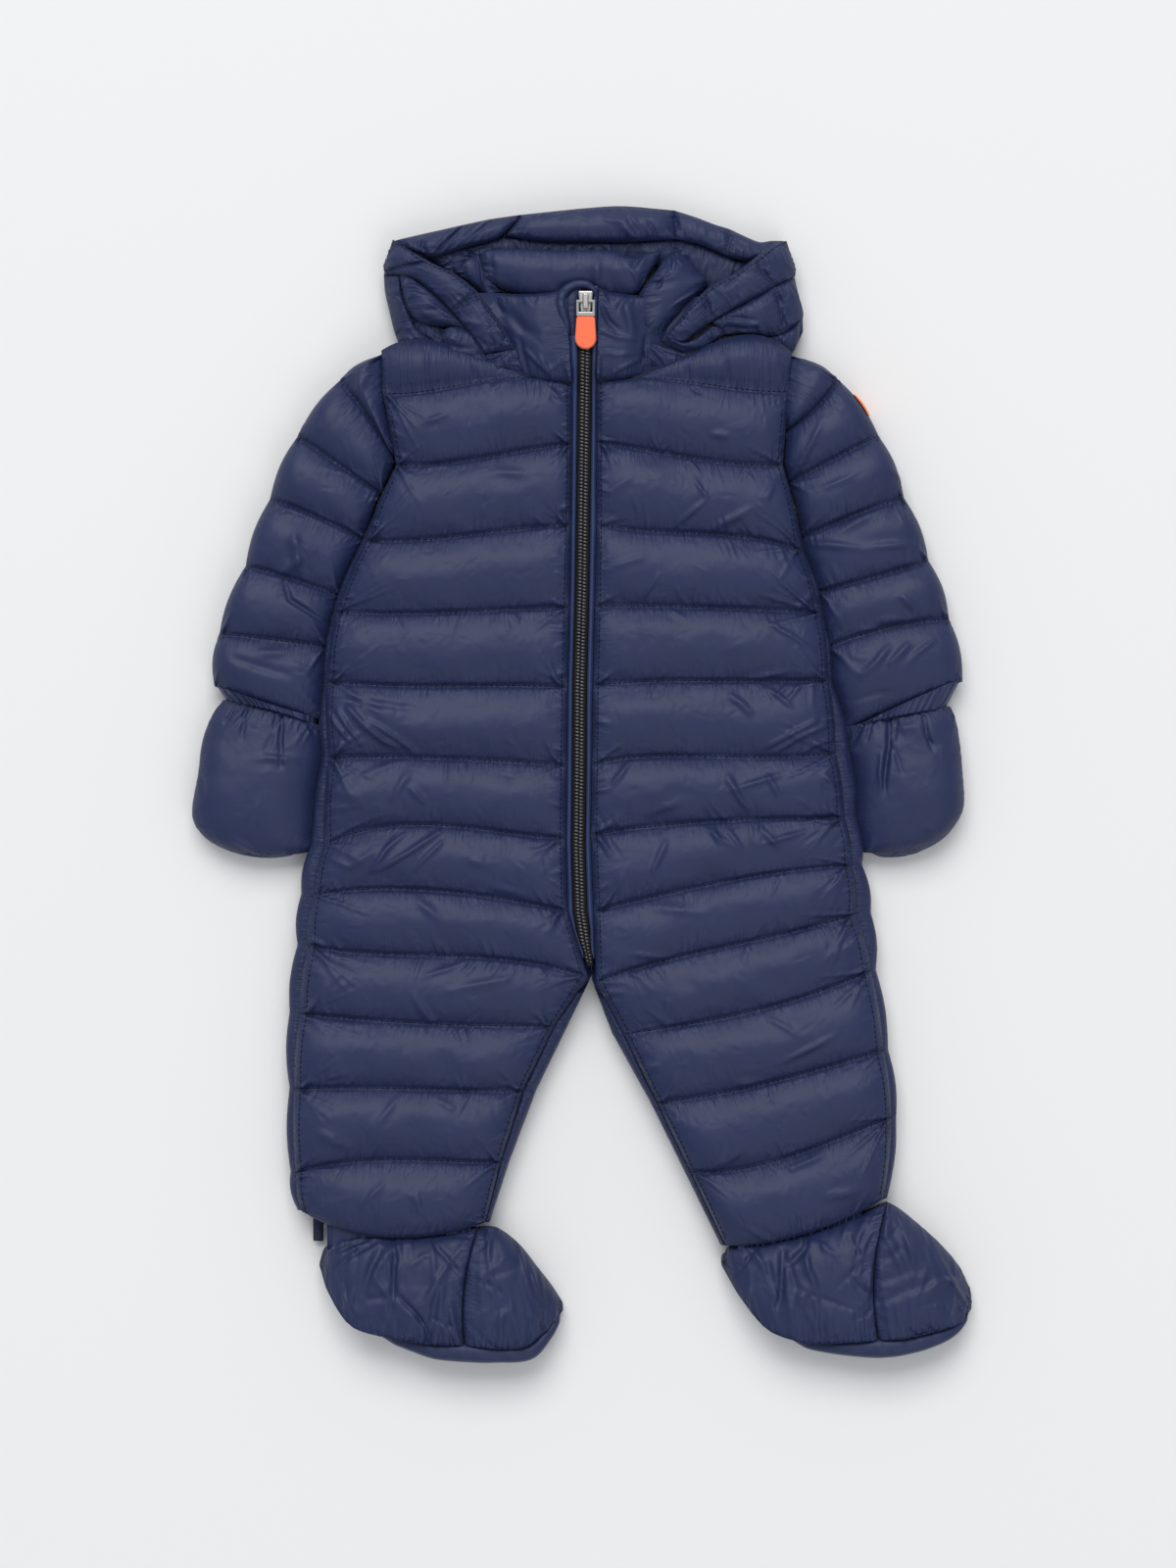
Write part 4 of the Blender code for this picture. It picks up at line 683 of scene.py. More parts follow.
collar = {
    "zipZ": 31.5, "seamZ": 25.0, "puff": 9.0, "columns": 24, "pitch": 2.0, "length": 52, "low": 22.0,
    "right": named(section, (
        (-6, 229.6, -9, 284.2, 0, 0), (-16.2, 229.8, -19, 281.4, 0, 0), (-26.3, 231.4, -33, 280.3, 0, 0),
        (-36.8, 234, -52, 281.4, 0, 0), (-47, 239, -63, 281, 0, 0),
    )),
    "left": named(section, (
        (8.2, 231, 9.4, 283.1, 0, 0), (17.4, 230.8, 20.2, 280.8, 0, 0), (26.3, 231.8, 34.5, 279.2, 0, 0),
        (38, 234.6, 53, 279.5, 0, 0), (51, 240, 71, 279, 0, 0),
    )),
}


def collarSheet(side):
    rows = collar[side]
    count = int(collar["length"] / collar["pitch"])
    points = []
    t = np.linspace(0, 1, collar["columns"] + 1)
    for j in range(count + 1):
        v = (len(rows) - 1) * j / count
        zipShare = float(clamp(1 - v / 0.7)) ** 2
        fall = float(ease((v - 1.4) / 2.3))
        top = lerp(collar["seamZ"], collar["zipZ"], zipShare) - 8.0 * fall
        full = collar["puff"] * (1 - 0.7 * fall) * (1 - 0.75 * zipShare)
        z = top + full * closing(t ** 1.3, 4)
        points.append(np.stack([*across(smoothRow(rows, v), t), z], axis=-1))
    sewn = [edgesSewn(len(t), j in (0, count)) for j in range(count + 1)]
    return Sheet(f"collar_{side}", points, sewn, low=collar["low"])


# Creases, laid out on the flat cloth: u across a sheet's columns, v down its rows, in mm.
# Each starts at a sewn line or an edge and fades along its length. Corners: most in a corner
# and their lengths at the first and last column; bunches: most on each side of a sewn row;
# edges: spacing along the first and last column; folds: number and height of the long ones.
crease = namedtuple("crease", "u v angle length width loose height")

wrinkles = {
    "front": {"corners": (5, 26, 42), "bunches": 4, "bunchLength": (6, 19), "edges": (3.0, 3.4),
              "edgeLength": (4, 15), "edgeHeight": 1.4, "folds": 30, "foldHeight": 0.9, "height": 1.3},
    "back": {"corners": (3, 14, 20), "bunches": 4, "bunchLength": (5, 12), "edges": (6.5, 0),
             "edgeLength": (4, 9), "edgeHeight": 0.9, "folds": 8, "foldHeight": 0.8, "height": 1.1},
    "sleeve": {"corners": (6, 30, 16), "bunches": 4, "bunchLength": (5, 16), "edges": (5.0, 0),
               "edgeLength": (5, 16), "edgeHeight": 1.0, "folds": 12, "foldHeight": 1.2, "height": 1.2},
    "mitten": {"corners": (0, 0, 0), "bunches": 7, "bunchLength": (6, 22), "edges": (4.0, 4.0),
               "edgeLength": (5, 13), "edgeHeight": 1.0, "folds": 5, "foldHeight": 1.0, "height": 1.0},
    "bootie": {"corners": (0, 0, 0), "bunches": 5, "bunchLength": (5, 16), "edges": (6.0, 4.6),
               "edgeLength": (9, 40), "edgeHeight": 1.9, "folds": 9, "foldHeight": 1.8, "height": 0.9},
    "collar": {"corners": (3, 12, 14), "bunches": 3, "bunchLength": (5, 14), "edges": (3.4, 5.0),
               "edgeLength": (4, 14), "edgeHeight": 1.0, "folds": 4, "foldHeight": 1.4, "height": 1.1},
    "hood": {"corners": (2, 10, 14), "bunches": 3, "bunchLength": (5, 14), "edges": (5.0, 4.0),
             "edgeLength": (5, 18), "edgeHeight": 1.2, "folds": 3, "foldHeight": 1.8, "height": 0.95},
}

# Folds seen on top of the suit: half width, depth (below zero for a ridge), and points along it
placedFolds = {
    "bootie_quarter_right": (
        (1.5, 2.2, -107.5, -257.3, -106.4, -271.3, -107.5, -280.8, -107.5, -292, -110.9, -305.5),
        (2.6, 1.5, -113.1, -261.8, -119.8, -274.1, -122.6, -282.5, -126, -292),
        (1.5, 1.4, -117, -260.7, -129.9, -267.4, -142.2, -277.5),
        (1.4, 1.2, -121, -259.6, -133.8, -264, -145, -269.1),
        (1.4, 1.7, -104.2, -291.5, -94.6, -301, -89.6, -307.7, -87.9, -314.4, -90.7, -323.4),
        (1.4, 1.4, -87.4, -257.3, -82.9, -264, -77.8, -269.1, -71.7, -276.4, -67.2, -282),
        (1.1, 0.8, -73.4, -285.3, -67.2, -292.6), (1.1, 0.7, -73.9, -297.6, -67.2, -299.3),
        (2.2, 0.8, -121, -293.2, -113.1, -292, -108.1, -289.8),
        (1.2, -1.1, -104.7, -258.4, -103.6, -268.5, -104.7, -279.7),
        (1.6, -0.9, -111.4, -267.4, -117, -276.9, -121, -285.3),
        (1.2, 0.7, -86.2, -303.2, -76.2, -307.7, -69.4, -308.8), (1.3, 1, -87.4, -316.7, -85.7, -324.5),
        (1.5, -0.8, -97.4, -274.1, -90.7, -268.5, -86.2, -267.4),
    ),
    "bootie_toe_right": (
        (1.2, 0.6, -63.8, -307.7, -53.8, -317.8, -48.2, -322.3),
        (1.3, 0.7, -60.5, -281.4, -50.4, -285.9, -43.7, -291.5),
        (1.6, 0.6, -63.8, -273, -53.8, -274.1, -45.9, -270.8),
        (1.6, 0.6, -53.8, -279.7, -44.2, -277.5, -35.8, -274.1), (1.1, 0.7, -29.7, -306.6, -31.4, -320.6),
        (1.6, 1.4, -21.8, -301, -23.5, -314.4, -21.3, -320),
        (1.2, 0.8, -63.8, -267.4, -57.1, -264, -52.6, -258.4),
        (1.4, -0.6, -61.6, -304.9, -53.8, -299.9, -48.2, -293.7),
    ),
    "bootie_quarter_left": (
        (2, 2, 128.8, -256.2, 126.6, -265.2, 119.8, -271.9, 115.4, -275.2),
        (2.2, 2.2, 114.8, -266.3, 113.7, -279.7, 113.7, -292, 109.2, -299.9),
        (1.6, 1.1, 117, -270.8, 119.8, -279.7, 122.6, -289.8),
        (1.2, 1.1, 101.9, -261.2, 94.1, -271.9, 86.2, -284.2),
        (1.8, 1, 105.8, -273, 108.6, -282.5, 113.1, -292),
        (1.4, 1.4, 152.3, -257.3, 155.7, -264, 160.2, -271.3),
        (1.4, 1.1, 160.2, -271.3, 152.3, -278.6, 143.4, -287.6),
        (1.3, 1, 152.3, -281.4, 160.2, -287.6, 167.4, -292.6),
        (1.2, 0.9, 122.1, -286.4, 132.2, -290.9, 143.4, -294.8, 154.6, -298.8, 163, -299.9),
        (1.4, 1.1, 155.1, -303.8, 162.4, -302.1, 166.3, -296.5), (1.2, 0.8, 164.6, -251.7, 159, -260.7),
        (1.2, 0.8, 167.4, -256.2, 161.3, -266.3), (1.8, -0.8, 131, -260.7, 137.8, -262.9, 144.5, -268.5),
        (1.4, -1, 127.7, -267.4, 128.2, -274.1, 126.6, -279.7),
    ),
    "bootie_toe_left": (
        (1.8, 1, 167.4, -271.3, 175.8, -268.5, 182.6, -262.9),
        (3, 0.9, 170.2, -282, 182.6, -278, 194.9, -274.7),
        (3, 1, 168.6, -294.8, 185.4, -287, 200.5, -283.1), (1.4, 0.7, 192.6, -296, 205, -294.3),
        (1.1, 1, 185.9, -310, 190.4, -314.4, 194.9, -316.1), (1.1, 1.1, 194.9, -311.1, 197.1, -320),
        (1.3, 1, 196, -307.7, 200.5, -312.2, 207.2, -315.6), (1.1, 0.8, 208.3, -310, 216.2, -315),
        (1.2, 1.4, 175.8, -238.3, 174.7, -247.2), (1.2, 0.8, 179.2, -246.1, 181.4, -251.7, 178.1, -255.1),
        (1.5, 0.7, 169.1, -261.8, 174.7, -258.4, 179.2, -254),
    ),
    "mitten_right": (
        (1.2, 2.2, -171.9, 44, -171.9, 31.1, -171.9, 8.7),
        (1.3, 1.2, -192.6, 44, -193.8, 31.6, -194.3, 23.8), (1.2, 1.2, -174.7, 44, -175.3, 30.5),
        (1.3, 1.6, -158.5, 40.6, -155.7, 32.8, -152.3, 28.3), (1.3, 1, -199.4, 42.8, -204.4, 34.4),
        (1.4, 0.7, -177, 27.2, -180.9, 18.2), (1.6, 0.8, -218.4, 4.8, -215, -6.4),
    ),
    "mitten_left": (
        (1.6, 2.4, 175.8, 38.4, 175.3, 22.7, 173.6, 11.5, 172.5, 1.4, 173, -5.3),
        (1.3, 1.5, 179.2, 36.1, 178.1, 23.8), (1.5, 1, 177.5, 21.6, 180.3, 14.3, 182.6, 4.8),
        (1.4, -1, 170.8, 17.1, 169.7, 5.9, 170.8, -4.2), (1.3, 1.8, 194.9, 38.4, 197.1, 27.2, 201, 18.2),
        (1.2, 1, 165.2, 35, 162.4, 24.4), (1.5, 1.5, 160.2, 33.9, 154.6, 22.7),
        (1.3, 0.8, 197.7, 25.5, 204.4, 21),
    ),
    "sleeve_right": (
        (1.6, 1.6, -170.8, 119, -166.9, 105.6, -155.7, 98.3, -143.4, 90.4),
        (1.4, -0.9, -164.6, 68.6, -157.9, 66.4, -150.1, 61.9),
        (1.4, -0.8, -163.5, 63, -157.9, 61.9, -151.2, 57.4),
        (2.6, 0.9, -198.2, 72, -181.4, 66.4, -164.6, 61.9),
    ),
    "sleeve_left": (
        (2.4, -1.4, 174.2, 77.6, 165.8, 67.5, 157.9, 60.8), (2, -1.3, 185.9, 79.8, 174.2, 67.5),
        (1.4, -1.1, 200.5, 82, 190.4, 74.2, 185.4, 68), (2.2, 0.9, 153.4, 47.3, 166.9, 51.8, 179.8, 52.9),
    ),
    "collar_right": (
        (1.2, 1.5, -35.3, 254.5, -33.6, 245.6, -30.8, 233.2),
        (1.2, -1.1, -32.5, 247.8, -27.4, 242.2, -21.3, 236, -17.9, 232.7),
        (1.3, -0.9, -19, 236, -12.3, 240, -5.6, 243.3), (1.3, 0.9, -26.3, 280.3, -27.4, 273),
        (3.5, 1.2, -40.3, 268, -33, 259, -23.5, 254.5),
        (1.6, 0.9, -49.3, 280.3, -48.2, 273.6, -43.7, 268),
    ),
    "collar_left": (
        (1.6, 1.1, 26.3, 279.2, 23.5, 274.7, 19.6, 269.6), (1.6, 1.3, 37.5, 277.5, 39.8, 273.6, 42, 268),
        (1.6, 0.9, 50.4, 276.9, 51, 270.2, 48.7, 262.4),
        (1.8, 1.3, 11.2, 271.3, 15.1, 263.5, 21.8, 257.9),
        (1.3, -1.1, 10.6, 258.4, 20.2, 254.5, 32.5, 253.4),
        (1.3, -0.9, 10.6, 245.6, 21.3, 244.4, 31.4, 246.1),
        (1.2, -1, 17.9, 234.9, 25.8, 238.8, 33.6, 243.3), (1.1, 1.7, 36.4, 255.6, 35.8, 247.8, 34.2, 240),
    ),
    "collar_back middle": (
        (1.6, -0.8, 24.6, 298.2, 29.1, 291.5, 33.6, 284.8), (2.4, 1, 33, 301.6, 30.2, 297.1, 26.9, 293.7),
        (2, 0.8, -52.6, 297.1, -50.4, 293.7, -52.6, 290.9),
    ),
    "collar_back left": (
        (1.3, 1.2, 50.4, 298.2, 49.8, 292.6), (1.3, 1, 49.3, 291.5, 44.8, 285.9, 41.4, 281.4),
        (1.6, -0.9, 50.4, 296, 56, 300.4, 61.6, 301.6),
    ),
    "hood_right front": (
        (1.3, -0.8, -73.9, 272.4, -69.4, 276.4, -63.8, 280.8),
        (1.4, 1, -53.8, 264.6, -50.4, 261.2, -54.9, 256.8),
        (1.3, 1.1, -52.6, 255.1, -49.8, 251.2, -53.8, 247.8),
        (1.2, 0.9, -48.2, 257.9, -43.7, 254.5, -45.9, 248.9),
    ),
    "hood_right lobe": (
        (1.3, 0.8, -103, 283.6, -95.2, 282.5, -88.5, 279.2),
        (1.3, 0.8, -104.2, 287, -96.3, 287, -90.7, 285.9),
        (1.3, -0.9, -100.8, 274.7, -98.6, 279.2, -93, 281.4),
        (1.3, 0.8, -88.5, 270.2, -80.6, 271.3, -75, 270.2),
    ),
    "hood_right lower": (
        (1.2, 1.2, -79.5, 251.2, -69.4, 248.9, -60.5, 248.9),
        (1.2, 1.2, -76.2, 246.7, -67.2, 243.3, -59.4, 241.6),
        (1.2, -0.9, -78.4, 255.6, -71.7, 253.4, -66.1, 250),
        (1.2, 1, -65, 243.3, -58.2, 245.6, -52.6, 245.6),
    ),
    "hood_right hem": (
        (1.2, 1, -49.8, 241.1, -45.9, 244.4, -40.3, 246.7),
        (1.2, -0.9, -52.6, 243.3, -47, 246.7, -40.3, 248.9),
    ),
    "hood_left front": (
        (1.3, 1.2, 68.3, 278, 71.7, 272.4, 73.4, 265.7),
        (1.3, 0.9, 88.5, 290.4, 85.1, 285.9, 80.6, 281.4),
        (2.4, -0.9, 93, 279.2, 90.7, 275.8, 87.4, 272.4),
        (1.4, 0.8, 60.5, 263.5, 57.1, 265.7, 53.8, 262.4),
    ),
    "hood_left outer": (
        (1.4, 1, 79.5, 266.8, 91.8, 265.7, 101.9, 264.6), (1.4, 1, 82.9, 261.2, 93, 260.1, 101.9, 261.2),
        (1.3, -0.9, 95.2, 259, 97.4, 261.8, 101.9, 262.9),
        (1.2, 0.9, 112, 279.2, 115.4, 273.6, 117.6, 268, 115.4, 261.2),
    ),
    "hood_left roll": (
        (1.2, 1.1, 48.2, 252.3, 56, 248.9, 62.7, 247.8, 71.7, 250),
        (1.4, 1, 68.3, 257.9, 72.8, 261.2, 77.3, 260.1),
    ),
    "hood_left hem": (
        (1.2, 1.3, 39.2, 247.8, 42.6, 243.3, 45.9, 237.7),
        (1.2, 1, 38.1, 252.3, 48.2, 245.6, 59.4, 243.3),
    ),
    "hood_centre middle": (
        (1.3, -0.7, -19, 322.8, -12.3, 325.6, -5.6, 327.9, 1.1, 324, 4.5, 321.7),
        (1.3, -0.8, 24.6, 328.4, 29.1, 322.8, 32.5, 317.2),
        (1.6, 1.1, 38.6, 320.6, 41.4, 315, 41.4, 310.5), (1.4, -0.6, 13.4, 322.8, 19, 321.7, 25.8, 321.7),
    ),
    "hood_centre left": (
        (1.3, 1.6, 53.2, 324, 54.3, 319.5, 56, 316.1), (1.3, 1, 85.7, 313.9, 82.9, 306),
        (1.4, 0.9, 86.2, 310.5, 93, 308.3, 97.4, 309.4),
    ),
    "hood_centre right": (
        (1.3, 1, -89.6, 311.6, -91.8, 307.2, -87.4, 303.8), (1.3, 0.8, -102.5, 311.1, -99.1, 306),
        (1.3, -0.7, -95.2, 310, -91.8, 312.2, -88.5, 310.5),
    ),
    "front_right": (
        (1.5, -1.4, -145.6, 41.7, -139.4, 32.8, -130.5, 22.7),
        (1.5, -1.2, -140, 42.8, -133.8, 32.8, -124.3, 21.6),
        (1.9, -1.6, -133.3, 44, -124.3, 33.9, -113.1, 24.9, -103, 20.4),
        (1.8, -1.3, -122.1, 36.1, -108.6, 28.3, -93, 17.1),
        (2.5, 0.9, -142.2, 48.4, -124.3, 46.8, -94.6, 43.4),
        (1.3, -0.8, -146.7, 62.4, -139.4, 60.8, -133.3, 56.8),
        (2.6, -0.9, -107.5, -7.6, -100.8, 3.6, -97.4, 7), (2, -0.8, -97.4, -2, -89.6, -10.9),
        (1.9, -1.4, -81.8, -27.2, -97.4, -37.8, -118.2, -50.1),
        (1.8, -1.3, -101.9, -28.3, -111.4, -36.7, -121, -51.2),
        (1.5, -1.1, -80.6, -33.3, -90.7, -43.4, -95.8, -50.1),
        (1.4, -0.8, -149, -37.8, -141.1, -43.4, -131, -47.9),
        (1.3, 1.1, -89, 245.6, -87.9, 240, -89.6, 231),
        (1.4, 1.3, -62.7, 237.7, -60.5, 234.4, -59.4, 229.9),
        (1.6, -0.9, -27.4, 228.8, -21.3, 233.2, -15.7, 234.4),
    ),
    "front_left": (
        (1.6, -1.3, 138.9, 33.3, 123.8, 27.2, 108.6, 17.6),
        (1.8, -1.4, 132.7, 35.6, 118.2, 28.3, 103, 20.4),
        (1.4, -1.1, 143.4, 26, 132.2, 22.7, 124.3, 16.5), (1.3, -0.9, 117, 56.8, 109.8, 49),
        (1.3, -0.9, 124.9, 57.4, 116.5, 47.3), (1.6, -1.1, 105.8, 54.6, 113.1, 49.6, 119.8, 44),
        (1.3, -0.7, 138.9, 8.1, 144.5, 13.2), (2, -0.9, 105.8, 4.8, 113.1, -7.6),
        (1.4, -1.1, 128.2, -17.1, 136.6, -21.6, 145.6, -21), (1.8, -0.9, 102.5, -25.5, 113.1, -37.2),
        (2.4, -1.1, 84.6, 50.1, 90.7, 46.2, 96.9, 39.5), (2, -1.2, 82.9, 4.2, 90.2, -8.7, 96.3, -15.4),
        (1.6, -1.1, 73.4, -23.2, 79, -35), (1.6, -1, 82.9, -26, 91.3, -36.7),
        (2, -0.9, 47.6, -33.3, 39.2, -51.2), (1.8, -1.1, 27.4, 13.2, 16.8, -0.8),
        (1.8, -0.9, 34.7, 107.2, 44.8, 120.7), (1.6, -0.9, 107, 91.6, 119.8, 84.3, 133.3, 75.3),
        (1.3, 1.2, 79, 246.7, 82.3, 238.8, 84, 228.8), (1.4, 1.1, 59.4, 237.7, 61.6, 231),
        (1.2, 1.2, 62.7, 225.4, 68.3, 223.2),
    ),
}


def clothPlaces(sheet):
    u = np.linalg.norm(np.diff(sheet.points, axis=1), axis=2).mean(axis=0)
    v = np.linalg.norm(np.diff(sheet.points, axis=0), axis=2).mean(axis=1)
    return np.concatenate([[0], np.cumsum(u)]), np.concatenate([[0], np.cumsum(v)])


def findCreases(sheet, rule, seed):
    dice = np.random.default_rng(seed)
    u, v = sheet.u, sheet.v
    last = u[sheet.topColumns] if sheet.loop else u[-1]
    lines = [v[j] for j in range(len(v)) if sheet.sewn[j].all()] or [v[0], v[-1]]
    found = []

    def add(*place, height, loose=False):
        found.append(crease(*place, loose, height * dice.uniform(0.5, 1.0) * rule["height"]))

    most, firstLength, lastLength = rule["corners"]
    for low, high in zip(lines, lines[1:]):
        for line, down in ((low, 1), (high, -1)):
            for place, inward, longest in ((0.0, 1, firstLength), (last, -1, lastLength)):
                start = dice.uniform(0.1, 0.5)
                for i in range(dice.integers(0, most + 1)):
                    tilt = start + 0.2 * i + dice.uniform(-0.06, 0.06)
                    add(place + inward * (1.0 + 1.6 * i), line + down * 0.8,
                        math.atan2(down * math.sin(tilt), inward * math.cos(tilt)),
                        dice.uniform(0.35, 1.0) * longest, dice.uniform(1.3, 2.4), height=1.1)
    for line in lines:
        for down in (1, -1):
            for bunch in range(dice.integers(1, rule["bunches"] + 1)):
                place, lean = dice.uniform(0.05, 0.95) * last, dice.uniform(-0.6, 0.6)
                for i in range(dice.integers(1, 5)):
                    add(place + dice.uniform(2.6, 4.6) * i, line + down * 0.6,
                        down * math.pi / 2 + lean + dice.uniform(-0.12, 0.12),
                        dice.uniform(*rule["bunchLength"]), dice.uniform(1.2, 2.2), height=0.9)
    for place, inward, spacing in ((0.0, 0.0, rule["edges"][0]), (last, math.pi, rule["edges"][1])):
        at = dice.uniform(1, 4)
        while spacing and at < v[-1]:
            grow = dice.uniform(0.0, 1.0) ** 1.5
            add(place, at, inward + dice.uniform(-0.5, 0.5), lerp(*rule["edgeLength"], grow),
                lerp(1.0, 1.6 + rule["edgeHeight"] * 0.8, grow),
                height=rule["edgeHeight"] * (0.5 + 0.5 * grow))
            at += spacing * dice.uniform(0.6, 1.5)
    for i in range(rule["folds"]):
        add(dice.uniform(0.05, 0.95) * last, dice.uniform(0.02, 0.98) * v[-1],
            dice.uniform(-1.1, 1.1) + math.pi * dice.integers(0, 2),
            dice.uniform(16, 46), dice.uniform(2.4, 5.0), height=rule["foldHeight"], loose=True)
    return found


def creaseField(sheet, creases, narrow=1.0):
    # raised lines with a hollow on both sides
    field = np.zeros((len(sheet.v), len(sheet.u)))
    for c in creases:
        width = c.width * narrow
        reach = c.length + 3 * width
        rows = slice(*np.searchsorted(sheet.v, (c.v - reach, c.v + reach)))
        columns = slice(*np.searchsorted(sheet.u, (c.u - reach, c.u + reach)))
        du, dv = np.meshgrid(sheet.u[columns] - c.u, sheet.v[rows] - c.v)
        along = du * math.cos(c.angle) + dv * math.sin(c.angle)
        off = (dv * math.cos(c.angle) - du * math.sin(c.angle)) / width
        share = clamp(along / c.length)
        fade = np.sin(np.pi * share) ** 1.5 if c.loose else clamp(along / 2 + 0.6) * (1 - share) ** 0.7
        field[rows, columns] += c.height * narrow * fade * (1 - 1.1 * off ** 2) * np.exp(-off ** 2)
    if not sheet.loop:
        field *= clamp(sheet.u / 2.5) * clamp((sheet.u[-1] - sheet.u) / 2.5)
    return field * np.where(sheet.v < sheet.quietTo, 0.3, 1.0)[:, None]


def fineCreases(sheet, spacing, height, seed):
    # short shallow marks all over the cloth
    dice = np.random.default_rng(seed)
    last = sheet.u[2 * sheet.topColumns] if sheet.loop else sheet.u[-1]
    found = []
    for i in range(int(last * sheet.v[-1] / spacing ** 2)):
        slope = dice.choice((0.0, 0.5, -0.5)) * math.pi + dice.normal(0, 0.5)
        found.append(crease(dice.uniform(0, last), dice.uniform(0, sheet.v[-1]), slope,
                            dice.uniform(4, 15), dice.uniform(1.0, 2.2), True,
                            height * dice.choice((-1, 1)) * dice.uniform(0.3, 1.0)))
    return found


def foldField(sheet, grow=1.0):
    # folds drawn along lines on top of the cloth: hollows with a lip, or ridges
    p = sheet.points
    field = np.zeros(p.shape[:2])
    for width, depth, *line in placedFolds.get(sheet.name, ()):
        line = np.array(line, dtype=float).reshape(-1, 2)
        width *= grow
        low, high = line.min(axis=0) - 4 * width, line.max(axis=0) + 4 * width
        near = ((p[..., :2] > low) & (p[..., :2] < high)).all(axis=-1) & (p[..., 2] > 14.0)
        if not near.any():
            continue
        q = p[near][:, :2]
        best, place = np.full(len(q), 1e9), np.zeros(len(q))
        steps = np.linalg.norm(np.diff(line, axis=0), axis=1)
        done = 0.0
        for a, b, step in zip(line, line[1:], steps):
            share = clamp(((q - a) @ (b - a)) / step ** 2)
            gone = np.linalg.norm(q - a - share[:, None] * (b - a), axis=1)
            place = np.where(gone < best, (done + share * step) / steps.sum(), place)
            best = np.minimum(best, gone)
            done += step
        fade = np.sin(np.pi * clamp(0.12 + 0.88 * place)) ** 0.6
        off = best / width
        field[near] -= depth * fade * (1 - 0.8 * off ** 2) * np.exp(-off ** 2)
    return field


def normalsOf(sheet):
    p = sheet.points
    du = np.roll(p, -1, 1) - np.roll(p, 1, 1) if sheet.loop else np.gradient(p, axis=1)
    return unit(np.cross(du, np.gradient(p, axis=0))) * sheet.turn


# Meshes and objects

def addObject(name, data):
    made = bpy.data.objects.new(name, data)
    bpy.context.scene.collection.objects.link(made)
    return made


def addMesh(name, points, faces):
    mesh = bpy.data.meshes.new(name)
    mesh.from_pydata(points, [], faces)
    return addObject(name, mesh)


def makePiece(name, points, faces, slotName, node=None, detail=0, look=None):
    # a piece of the suit, in place of one CAD node where that is named
    p = np.array(points, dtype=float).reshape(-1, 3)
    p[:, 0] -= centreX
    piece = addMesh(name + ("_closed" if slotName == "zip_tape" else "_cloth"), (p * mm).tolist(), faces)
    piece.data.validate()
    piece.data.shade_smooth()
    if detail:
        finer = piece.modifiers.new("Subdivision", "SUBSURF")
        finer.levels = finer.render_levels = detail
    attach(piece, "suit")
    if node:
        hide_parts(node)
    piece["look"] = look or slotName
    return piece


def closeSheet(sheet):
    # outer points, a plain face underneath with two columns, and the rims between
    rows, columns = sheet.points.shape[:2]
    turn, base = sheet.turn, rows * columns
    ends = sheet.points[:, [0, -1]].copy()
    along = ends[:, 1] - ends[:, 0]
    along /= np.linalg.norm(along, axis=1, keepdims=True)
    ends[:, 0] += along * sheet.inset
    ends[:, 1] -= along * sheet.inset
    ends[..., 2] = sheet.low
    faces = sheet.faces()
    for j in range(rows - 1):
        a, b, c = j * columns, (j + 1) * columns - 1, base + 2 * j
        for face in ([a, a + columns, c + 2, c], [b, c + 1, c + 3, b + columns], [c, c + 2, c + 3, c + 1]):
            faces.append(face[::turn])
    faces.append(([*range(columns)] + [base + 1, base])[::-turn])
    faces.append(([*range(base - columns, base)] + [base + 2 * rows - 1, base + 2 * rows - 2])[::turn])
    return np.concatenate([sheet.points.reshape(-1, 3), ends.reshape(-1, 3)]), faces


def closeTube(sheet, tucks=(0, 0)):
    # turns each open end of a tube inwards, then closes it out of sight; a pad's end is filled
    rows, columns = sheet.points.shape[:2]
    points, faces, count = [sheet.points.reshape(-1, 3)], sheet.faces(), rows * columns
    for row, inward, tuck, turn in ((0, 1, tucks[0], -sheet.turn),
                                    (rows - 1, rows - 2, tucks[1], sheet.turn)):
        loop = [row * columns + i for i in range(columns)]
        if tuck:
            ring = sheet.points[row]
            middle = ring.mean(axis=0)
            inner = sheet.points[inward].mean(axis=0) - middle
            inner = inner / np.linalg.norm(inner) * tuck
            points.append(middle + (ring - middle) * (0.95, 0.95, 0.72) + inner)
            new = [count + i for i in range(columns)]
            count += columns
            for i in range(columns):
                k = (i + 1) % columns
                faces.append([loop[i], loop[k], new[k], new[i]][::turn])
            loop = new
        faces.append(loop[::turn])
    return np.concatenate(points), faces


def ringFaces(base, rings, size, turn):
    # faces of a short closed tube, whose points start at base
    end = base + size * (rings - 1)
    faces = []
    for i in range(base, end, size):
        for k in range(size):
            a, b = i + k, i + (k + 1) % size
            faces.append([a, b, b + size, a + size][::turn])
    return faces + [[*range(base, base + size)][::-turn], [*range(end, end + size)][::turn]]


def tubePiece(name, rings, slotName, node, tucks=(0, 0), detail=0):
    points, faces = closeTube(Sheet(name, rings, loop=True), tucks)
    return makePiece(name, points, faces, slotName, node, detail)


# All the padded sheets, filled together

air = {
    "noise": 0.15, "swell": 0.8,     # heights of the bumps that it starts from
    "frames": 20, "cap": 9,          # cap is the most that a point moves
    "cloth": {
        "quality": 4, "mass": 0.2, "tension_stiffness": 15, "compression_stiffness": 15,
        "shear_stiffness": 5, "bending_stiffness": 0.22, "tension_damping": 5,
        "compression_damping": 5, "shear_damping": 5, "air_damping": 1.0, "use_pressure": True,
        "uniform_pressure_force": 16, "shrink_min": -0.05, "vertex_group_mass": "sewn",
    },
}


